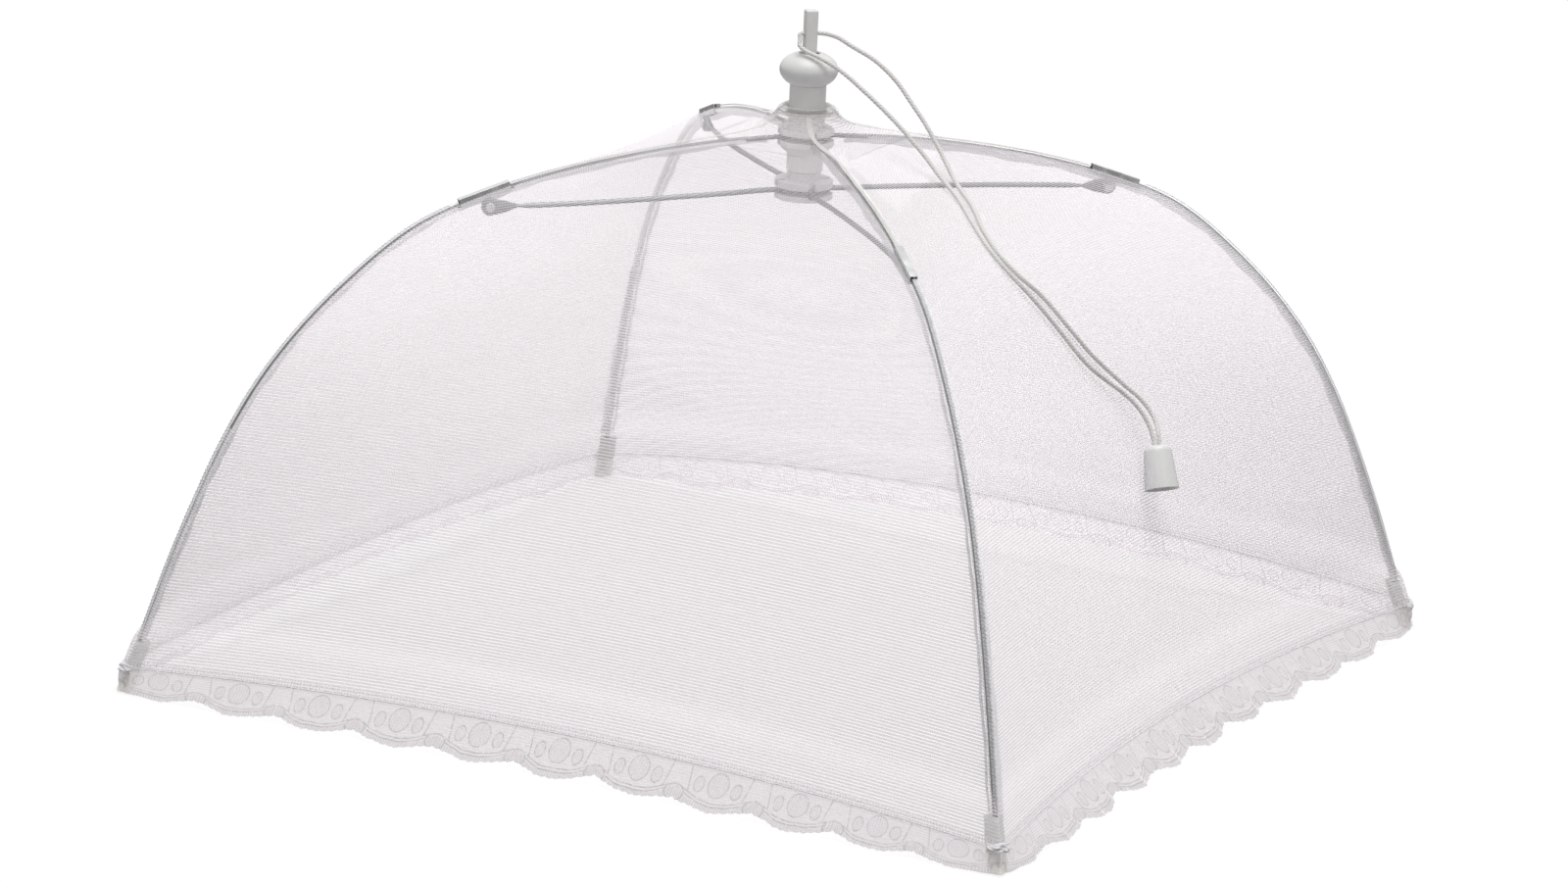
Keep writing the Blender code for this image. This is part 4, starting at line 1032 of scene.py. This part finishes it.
def make_stretcher(corner):
    """The stretcher's wire with its hinge eye and its flattened, pierced end."""
    span = Vector((PIVOT.x + RING_RADIUS - LOWER_RING_RADIUS, 0, PIVOT.z + HINGE_HEIGHT - LOWER_HINGE_HEIGHT))
    offset = PLATE_START + STRETCHER_RADIUS
    route = [span.normalized() * (EYE_HOLE + EYE_WALL / 2)]
    for along, swing in zip(STRETCHER_BEND_SHARES, STRETCHER_SWING_SHARES):
        route.append(span * along + Vector((0, offset * swing, 0)))
    for back, across in ((1, offset), (-1, PLATE_START + PLATE_THICKNESS / 2)):
        reach = NECK_LENGTH + STRETCHER_RADIUS * 2 * back
        route.append(span - span.normalized() * reach + Vector((0, across, 0)))
    bm = bmesh.new()
    add_tube(bm, smooth_path(route, 0.001), STRETCHER_RADIUS, sides=14, shape=stretcher_shape)
    add_eye(bm, STRETCHER_RADIUS)
    outline = ring_outline(span, EYE_PLATE_RADIUS, PLATE_STEPS)
    inner = [span + (point - span).normalized() * RIVET_HOLE for point in outline]
    levels = (
        (0.0, PLATE_EASING, outline), (0.06, 0.0, outline), (0.94, 0.0, outline),
        (1.0, PLATE_EASING, outline), (1.0, 0.0, inner), (0.0, 0.0, inner),
    )
    rings = []
    for height, shrink, line in levels:
        ring = []
        for point in line:
            eased = point - (point - span).normalized() * shrink
            ring.append(bm.verts.new(eased + Vector((0, PLATE_START + PLATE_THICKNESS * height, 0))))
        rings.append(ring)
    bridge(bm, rings, close=True)
    bm.transform(hinge_frame(corner, LOWER_RING_RADIUS, LOWER_HINGE_HEIGHT))
    stretcher = finish_mesh("stretcher_wire_" + corner, bm, [STRETCHER], 40)
    carry(stretcher, "stretcher_" + corner, "stretcher_" + corner)


def stretcher_shape(distance, angle):
    """Slightly thinner towards the flattened end."""
    return 1 - 0.45 * smooth_share(distance, 0.104, 0.112)


def softened(name, node, body, material, width=0.00012):
    """A copy of a solid with its edges eased."""
    source = nodes[node]
    bm = bmesh.new()
    bm.from_mesh(source.data)
    bmesh.ops.remove_doubles(bm, verts=bm.verts, dist=0.000002)
    bmesh.ops.dissolve_limit(bm, angle_limit=math.radians(1), verts=bm.verts, edges=bm.edges)
    piece = finish_mesh(name, bm, [material], 40)
    ease = piece.modifiers.new("ease", "BEVEL")
    ease.width = width
    ease.segments = 2
    ease.limit_method = "ANGLE"
    ease.angle_limit = math.radians(40)
    carry(piece, body, node)


def rib_strip(distances, section, wobble=None):
    """Rows of points of a strip that follows a rib, from its cross-section."""
    rows, uvs = [], []
    for distance in distances:
        centre = RIB.at(distance)
        outward = RIB.outward(distance)
        shift = wobble(distance) if wobble else (0, 0)
        row, places = [], []
        for across, out in section:
            row.append(centre + Vector((0, across + shift[0], 0)) + outward * (out + shift[1] * (out < 0)))
            places.append((across + out, distance))
        rows.append(row)
        uvs.append(places)
    return rows, uvs


SLEEVE_SECTION = (
    (-0.00165, 0.00138), (-0.00120, 0.00150), (-0.00070, 0.00160), (0, 0.00168),
    (0.00070, 0.00160), (0.00120, 0.00150), (0.00165, 0.00138),
)
BAND_SECTION = ((-0.00212, 0.0006), (-0.00216, -0.0006), (-0.00212, -0.0019), (-0.00204, -0.0032))
CASING_SECTION = (
    (-0.00145, 0.0002), (-0.0013, -0.0007), (-0.0007, -0.0012), (0, -0.00138),
    (0.0007, -0.0012), (0.0013, -0.0007), (0.00145, 0.0002),
)
STRIP_STEP = 0.003
BAND_START = 0.006
CASING_START = 0.016
FOLD_SECTION = ((0.0013, 0.00105), (0.0024, 0.0007), (0.0036, -0.0002))
FOLD_REACH = 0.095
STITCH_PITCH = 0.0016
STITCH_RADIUS = 0.00016
STITCH_HALF = 0.0008
STITCH_LIFT = 0.00178
TAPE_START_HALF = 0.0011
TAPE_STOP_HALF = 0.0009
TAPE_RISE = 0.0004


def spread_marks(start, stop, step):
    """Evenly spaced distances between two."""
    count = max(1, round((stop - start) / step))
    return [start + (stop - start) * index / count for index in range(count + 1)]


def band_wobble(distance):
    """The seam allowance's uneven edge, which tapers away at its ends."""
    fading = smooth_share(distance, POCKET_TOP - 0.03, POCKET_TOP - 0.002)
    taper = 1 - smooth_share(distance, BAND_START, 0.030) * (1 - fading)
    return (
        0.00018 * math.sin(distance * 210) + 0.0001 * math.sin(distance * 530),
        0.0010 * taper - 0.0004 * math.sin(distance * 160 + 1) - 0.0002 * math.sin(distance * 420),
    )


def fold_wobble(distance):
    """The fold's uneven width, which grows towards the pocket."""
    grow = smooth_share(distance, POCKET_TOP - FOLD_REACH, POCKET_TOP - 0.01)
    return (0.0012 * (grow - 1) + 0.0002 * math.sin(distance * 260), -0.0003 * math.sin(distance * 190))


def stitches(start, stop):
    """The zigzag of thread that holds the net to a rib."""
    points = []
    side = 1
    for distance in spread_marks(start, stop, STITCH_PITCH / 2):
        across = side * (STITCH_HALF + 0.0001 * math.sin(distance * 900))
        points.append(RIB.at(distance) + Vector((0, across, 0)) + RIB.outward(distance) * STITCH_LIFT)
        side = -side
    return points


def make_rib_cloth(corner):
    """The net's sleeve over the rib, its stitches, a fold and the seam allowance."""
    bm = bmesh.new()
    low_end = POCKET_TOP - 0.0004
    for start, stop in ((FLARE_START, CLIP_START), (CLIP_STOP, low_end)):
        add_grid(bm, *rib_strip(spread_marks(start, stop, STRIP_STEP), SLEEVE_SECTION))
        add_tube(bm, stitches(start + 0.004, stop - 0.001), STITCH_RADIUS, sides=5, material=1)
    marks = spread_marks(POCKET_TOP - FOLD_REACH, POCKET_TOP - 0.001, STRIP_STEP)
    add_grid(bm, *rib_strip(marks, FOLD_SECTION, fold_wobble), 2)
    bm.transform(hinge_frame(corner))
    sleeve = finish_mesh("rib_sleeve_" + corner, bm, [SLEEVE, STITCH, FOLD], 180, outward=False)
    carry(sleeve, "rib_" + corner)
    bm = bmesh.new()
    add_grid(bm, *rib_strip(spread_marks(BAND_START, POCKET_TOP - 0.002, 0.002), BAND_SECTION, band_wobble))
    for start, stop in ((CASING_START, CLIP_START - 0.001), (CLIP_STOP + 0.001, low_end)):
        add_grid(bm, *rib_strip(spread_marks(start, stop, STRIP_STEP), CASING_SECTION), 1)
    bm.transform(hinge_frame(corner))
    band = finish_mesh("seam_allowance_" + corner, bm, [BAND, CASING], 180, outward=False)
    carry(band, "rib_" + corner, "seam_band_" + corner)


SEAM_LEAN = {"front": -0.24, "right": 0.10, "back": 0.0, "left": 0.0}


def make_crown_tape(corner):
    """The white seam tape from the gathered edge down to the clip."""
    spine = [(row[0] - RING_RADIUS, row[1] - HINGE_HEIGHT) for row in CROWN_ROWS[1:]]
    for distance in spread_marks(FLARE_START + 0.0015, CLIP_START, 0.0025):
        hold = smooth_share(distance, FLARE_START, FLARE_START + RIB_STEP)
        offset = SEAM_OFFSET + hold * (HUG_OFFSET + GAP - SEAM_OFFSET)
        point = RIB.at(distance) + RIB.outward(distance) * offset
        spine.append((point.x, point.z))
    rows, uvs = [], []
    for index, ((out, up), length) in enumerate(zip(spine, running_lengths(spine))):
        before = spine[max(index - 1, 0)]
        after = spine[min(index + 1, len(spine) - 1)]
        normal = Vector((before[1] - after[1], 0, after[0] - before[0])).normalized()
        share = index / (len(spine) - 1)
        half = TAPE_START_HALF + (TAPE_STOP_HALF - TAPE_START_HALF) * share + 0.00012 * math.sin(length * 330)
        shift = 0.0002 * math.sin(length * 90)
        row, places = [], []
        for across, rise in ((-1, 0.45), (-0.5, 0.9), (0, 1), (0.5, 0.9), (1, 0.45)):
            place = Vector((out, across * half + shift, up)) + normal * (TAPE_RISE * rise)
            lean = SEAM_LEAN[corner] * (1 - smooth_share(out + RING_RADIUS, 0.0090, 0.0480))
            centre = Vector((-RING_RADIUS, 0, 0))
            row.append(centre + Matrix.Rotation(lean, 3, "Z") @ (place - centre))
            places.append((across * half, length))
        rows.append(row)
        uvs.append(places)
    bm = bmesh.new()
    add_grid(bm, rows, uvs)
    bm.transform(hinge_frame(corner))
    tape = finish_mesh("crown_tape_" + corner, bm, [SEAM], 180, outward=False)
    "rib_" + corner
    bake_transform(tape)


TUCK_COLUMNS = 36
TUCK_LEVELS = 14
TUCK_HALF = 0.0046


def make_corner_tuck(corner):
    """The lace's soft crumpled fold round the pocket, at the seam's corner."""
    bm = bmesh.new()
    rows, uvs = [], []
    for level in range(TUCK_LEVELS + 1):
        share = level / TUCK_LEVELS
        distance = HEM - 0.0022 + 0.0040 * share
        row = canopy_row(min(distance, RIB.length - 0.001))
        base = row[0] - RING_RADIUS
        line, places = [], []
        for step in range(TUCK_COLUMNS + 1):
            across = (step / TUCK_COLUMNS - 0.5) * 2
            back = 0.0036 * across * across
            fold = 0.00045 * math.sin(share * 9 + across * 3) + 0.0003 * math.sin(share * 16 - across * 7)
            fade = math.sin(math.pi * share) ** 0.5
            reach = base + 0.00075 * fade + fold * fade - back
            height = row[1] - HINGE_HEIGHT + 0.0005 * math.sin(across * 4 + 1)
            line.append(Vector((reach, across * TUCK_HALF, height)))
            places.append((across * TUCK_HALF, share * 0.004))
        rows.append(line)
        uvs.append(places)
    add_grid(bm, rows, uvs)
    bm.transform(hinge_frame(corner))
    tuck = finish_mesh("corner_tuck_" + corner, bm, [FOLD], 180, outward=False)
    carry(tuck, "rib_" + corner)


POCKET_SECTION = [
    (0.0023, 0.0), (0.0017, 0.0014), (0.0002, 0.0026), (-0.0014, 0.0037), (-0.0026, 0.0041),
    (-0.0036, 0.0036), (-0.0038, 0.0018), (-0.0036, 0.0),
]
POCKET_SECTION += [(out, -across) for out, across in POCKET_SECTION[-2:0:-1]]
POCKET_HEIGHTS = (
    0.0003, 0.0009, 0.003, 0.006, 0.0085, 0.0094, 0.0103, 0.013, 0.016, 0.0185, 0.0200, 0.0210, 0.0213,
)
POCKET_SWELL = (0.88, 0.98, 1.03, 1.02, 0.99, 0.93, 0.98, 1.0, 0.98, 0.96, 0.97, 1.0, 0.93)
POCKET_PITCH = 0.0013
POCKET_LIP = 0.003


def make_pocket(corner):
    """The folded pocket that holds a rib's tip."""
    top = RIB.at(POCKET_TOP)
    tip = RIB.at(RIB.length)
    slope = (tip - top) / (tip.z - top.z)
    bm = bmesh.new()
    rings = []
    for height, grow in zip(POCKET_HEIGHTS, POCKET_SWELL):
        centre = top + slope * (-HINGE_HEIGHT + height - top.z)
        ring = []
        for index, (out, across) in enumerate(POCKET_SECTION):
            crease = 1 + 0.035 * math.sin(index * 2.1 + height * 500)
            ring.append(bm.verts.new((centre.x + out * grow * crease, across * grow * crease, centre.z)))
        rings.append(ring)
    centre = top + slope * (-HINGE_HEIGHT + POCKET_HEIGHT - POCKET_LIP - top.z)
    lip = [(centre.x + out * 0.6, across * 0.5, centre.z) for out, across in POCKET_SECTION]
    rings.append([bm.verts.new(place) for place in lip])
    marks = POCKET_HEIGHTS + POCKET_HEIGHTS[-1:]
    bridge(bm, rings, place=lambda ring, part: (part * POCKET_PITCH, marks[ring]))
    bm.faces.new(rings[0][::-1])
    bm.faces.new(rings[-1])
    bm.transform(hinge_frame(corner))
    pocket = finish_mesh("pocket_" + corner, bm, [POCKET], 75)
    smooth = pocket.modifiers.new("smooth", "SUBSURF")
    smooth.levels = 2
    smooth.render_levels = 2
    carry(pocket, "rib_" + corner, "tip_pocket_" + corner)


for corner in CORNERS:
    make_rib(corner)
    make_stretcher(corner)
    make_rib_cloth(corner)
    make_crown_tape(corner)
    make_pocket(corner)
    make_corner_tuck(corner)
    for name, node, body in (
        ("clip_", "rib_clip_", "rib_"), ("rivet_inner_", "rivet_head_", "rib_"),
        ("rivet_outer_", "rivet_tail_", "stretcher_"),
    ):
        softened(name + corner, node + corner, body + corner, CLIP)


# The tube, knob, hubs and rod
KNOB_STEPS = 40


def make_knob():
    """The flattened ball on top of the tube."""
    low = COLLAR_TOP + GAP / 10
    centre = COLLAR_TOP + KNOB_LIFT
    pocket = SPIGOT_RADIUS + GAP
    ceiling = COLLAR_TOP + SPIGOT_HEIGHT + GAP
    bottom_angle = -math.acos((TUBE_RADIUS - GAP / 2) / KNOB_RADIUS)
    under_height = (low - centre) / math.sin(bottom_angle)
    top_angle = math.acos(BORE_RADIUS / KNOB_RADIUS)
    profile = [(BORE_RADIUS, ceiling), (pocket, ceiling), (pocket, low + GAP), (pocket + GAP, low)]
    for step in range(KNOB_STEPS + 1):
        angle = bottom_angle + (top_angle - bottom_angle) * step / KNOB_STEPS
        half_height = under_height if angle < 0 else KNOB_HALF_HEIGHT
        profile.append((KNOB_RADIUS * math.cos(angle), centre + half_height * math.sin(angle)))
    reach, height = profile[-1]
    profile[-1:] = [(reach + 0.0003, height - 0.0001), (reach, height - 0.0005)]
    bm = bmesh.new()
    lathe(bm, profile)
    knob = finish_mesh("knob", bm, [WHITE], 35)
    carry(knob, "frame", "top_knob")


GATHER_TOP = (
    (0.0079, 0.2351), (0.0080, 0.2357), (0.0085, 0.2362), (0.0093, 0.2364), (0.0102, 0.2363),
    (0.0110, 0.2360), (0.0117, 0.2355), (0.0123, 0.2348), (0.0128, 0.2340), (0.0132, 0.2331),
)
GATHER_UNDER = ((0.0112, 0.2349), (0.0108, 0.2335), (0.0098, 0.2329), (0.0086, 0.2330), (0.0079, 0.2338))
GATHER_STEPS = 448
SKIRT_REACH = 0.0205
SKIRT_STEPS = 12
SKIRT_HOLD = 0.0124
SKIRT_LIFT = 0.00040
SKIRT_UNDER_LIFT = 0.00020


def crown_height(reach):
    """The height of the gathered net at a reach from the centre line."""
    for near, far in zip(CROWN_ROWS, CROWN_ROWS[1:]):
        if far[0] >= reach:
            share = (reach - near[0]) / (far[0] - near[0])
            return near[1] + share * (far[1] - near[1])
    return CROWN_ROWS[-1][1]


def gather_profile():
    """The closed outline of the gathered edge: over the roll, down the skirt and back under it."""
    top = list(GATHER_TOP)
    start = top[-1][0]
    reaches = [start + (SKIRT_REACH - start) * (step + 1) / SKIRT_STEPS for step in range(SKIRT_STEPS)]
    first_gap = top[-1][1] - crown_height(start)
    for index, reach in enumerate(reaches):
        share = (index + 1) / SKIRT_STEPS
        top.append((reach, crown_height(reach) + first_gap * (1 - share) ** 3 + SKIRT_LIFT))
    under = [(reach, crown_height(reach) + SKIRT_UNDER_LIFT) for reach in reaches[-2::-1]]
    under.append((SKIRT_HOLD, crown_height(SKIRT_HOLD) + SKIRT_LIFT))
    return top + under + list(GATHER_UNDER), len(top)


def make_gather():
    """The gathered edge of the net, rolled at the tube and thinning out over the net below."""
    bm = bmesh.new()
    profile, top_count = gather_profile()
    marks = running_lengths(profile[:top_count])
    for reach, _ in profile[top_count:]:
        index = min(sum(point[0] < reach for point in profile[:top_count]), top_count - 1)
        marks.append(marks[index])
    rings = []
    for step in range(GATHER_STEPS):
        angle = math.tau * step / GATHER_STEPS
        pleat = 0.00010 * (math.cos(angle * GATHER_PLEATS) + math.sin(angle * GATHER_WAVES + 1))
        sway = 0.00022 * math.sin(angle * 3 + 0.7) + 0.00014 * math.sin(angle * 7)
        ring = []
        for index, (reach, height) in enumerate(profile):
            outside = smooth_share(reach, 0.0082, 0.0108) * (index < top_count)
            outside *= 1 - smooth_share(reach, 0.0135, SKIRT_REACH) * 0.7
            lift = abs(pleat) * 0.6 + 0.6 * max(sway, 0)
            far = reach + (pleat + sway) * outside * 0.8
            ring.append(bm.verts.new((far * math.cos(angle), far * math.sin(angle), height + lift * outside)))
        rings.append(ring)
    bridge(bm, rings, close=True, place=lambda ring, part: (ring / GATHER_STEPS, marks[part % len(marks)]))
    gather = finish_mesh("apex_gather", bm, [GATHERED], 80)
    carry(gather, "frame", "apex_binding")


make_knob()
make_gather()
softened("tube", "outer_tube", "frame", TUBE, 0.0002)
softened("hub", "lower_hub", "shaft", HUB_PAINTED_SHADE, 0.0002)
softened("rod", "shaft_rod", "shaft", ROD, 0.0001)
softened("bell", "cord_bell", "frame", WHITE, 0.0003)
for name, material in (("upper_ring_wire", WIRE), ("lower_ring_wire", WIRE), ("cord_knot", CORD)):
    nodes[name].data.materials.clear()
    nodes[name].data.materials.append(material)


# Floor, world and light
BARE_WHITE = (1, 1, 1)
FLOOR_COLOUR = (0.27, 0.269, 0.268, 1)
# Painted shade: the floor's glow is weaker and tinted where it is seen through the cloth.
FLOOR_THROUGH_CLOTH = (1.0, 0.972, 0.975)
FLOOR_GLOW = 0.66
FLOOR_BARE_GLOW = 0.08
FLOOR_DROP = 0.0002
# Painted shade: the backdrop is dimmer and tinted where it is seen through the cloth.
WORLD_THROUGH_CLOTH = (1.0, 0.955, 0.985)
WORLD_LIGHT = 0.38
WORLD_SEEN = 0.43
WORLD_BARE = 0.19


def seen_and_bare(tree):
    """Seen by the camera, and seen with no cloth before it. Also all the outputs of the light path."""
    path = tree.nodes.new("ShaderNodeLightPath").outputs
    bare = Field(tree, path["Transparent Depth"]).ramp(0.2, 0.8, 1.0, 0.0)
    return Field(tree, path["Is Camera Ray"]), bare, path


def make_floor():
    """A wide pale floor that shows as white; where the cloth is before it, its glow is weaker and tinted,
    painted shade for the cover's shadow.
    """
    material = bpy.data.materials.new("floor")
    material.use_nodes = True
    tree = material.node_tree
    tree.nodes.clear()
    output = tree.nodes.new("ShaderNodeOutputMaterial")
    diffuse = tree.nodes.new("ShaderNodeBsdfDiffuse")
    diffuse.inputs["Color"].default_value = FLOOR_COLOUR
    glow = tree.nodes.new("ShaderNodeEmission")
    seen, bare, _ = seen_and_bare(tree)
    colour_between(tree, glow, FLOOR_THROUGH_CLOTH, BARE_WHITE, bare, "Color")
    (seen * (bare * FLOOR_BARE_GLOW + FLOOR_GLOW)).drive(glow.inputs["Strength"])
    add_shaders(tree, diffuse, glow, output)
    bm = bmesh.new()
    bmesh.ops.create_grid(bm, x_segments=1, y_segments=1, size=30)
    floor = finish_mesh("floor", bm, [material])
    floor.location.z = -FLOOR_DROP


def make_world():
    """White to the camera and in gloss, dimmer and tinted as painted shade where it is seen through the
    cloth, and an even pale light on the object.
    """
    world = bpy.data.worlds.new("world")
    bpy.context.scene.world = world
    world.use_nodes = True
    tree = world.node_tree
    back = tree.nodes["Background"]
    seen, bare, path = seen_and_bare(tree)
    seen = seen.high(Field(tree, path["Is Glossy Ray"])).high(Field(tree, path["Is Transmission Ray"]))
    colour_between(tree, back, WORLD_THROUGH_CLOTH, BARE_WHITE, bare.high(seen.rest()), "Color")
    (seen * (bare * WORLD_BARE + WORLD_SEEN) + WORLD_LIGHT).drive(back.inputs["Strength"])


def make_sun(name, strength, width, turn):
    """A soft light from far away, as wide as an angle in degrees."""
    sun = bpy.data.lights.new(name, "SUN")
    sun.energy = strength
    sun.angle = math.radians(width)
    link(name, sun).rotation_euler = turn


make_floor()
make_world()
# A wide light from above and a weak one from the right
make_sun("overhead", strength=1.92, width=45, turn=(math.radians(2.5), math.radians(3), 0))
SIDE_TURN = Vector((1.0, -0.4, 1.2)).to_track_quat("Z", "Y").to_euler()
make_sun("side", strength=0.16, width=30, turn=SIDE_TURN)
bpy.context.scene.view_settings.view_transform = "Standard"
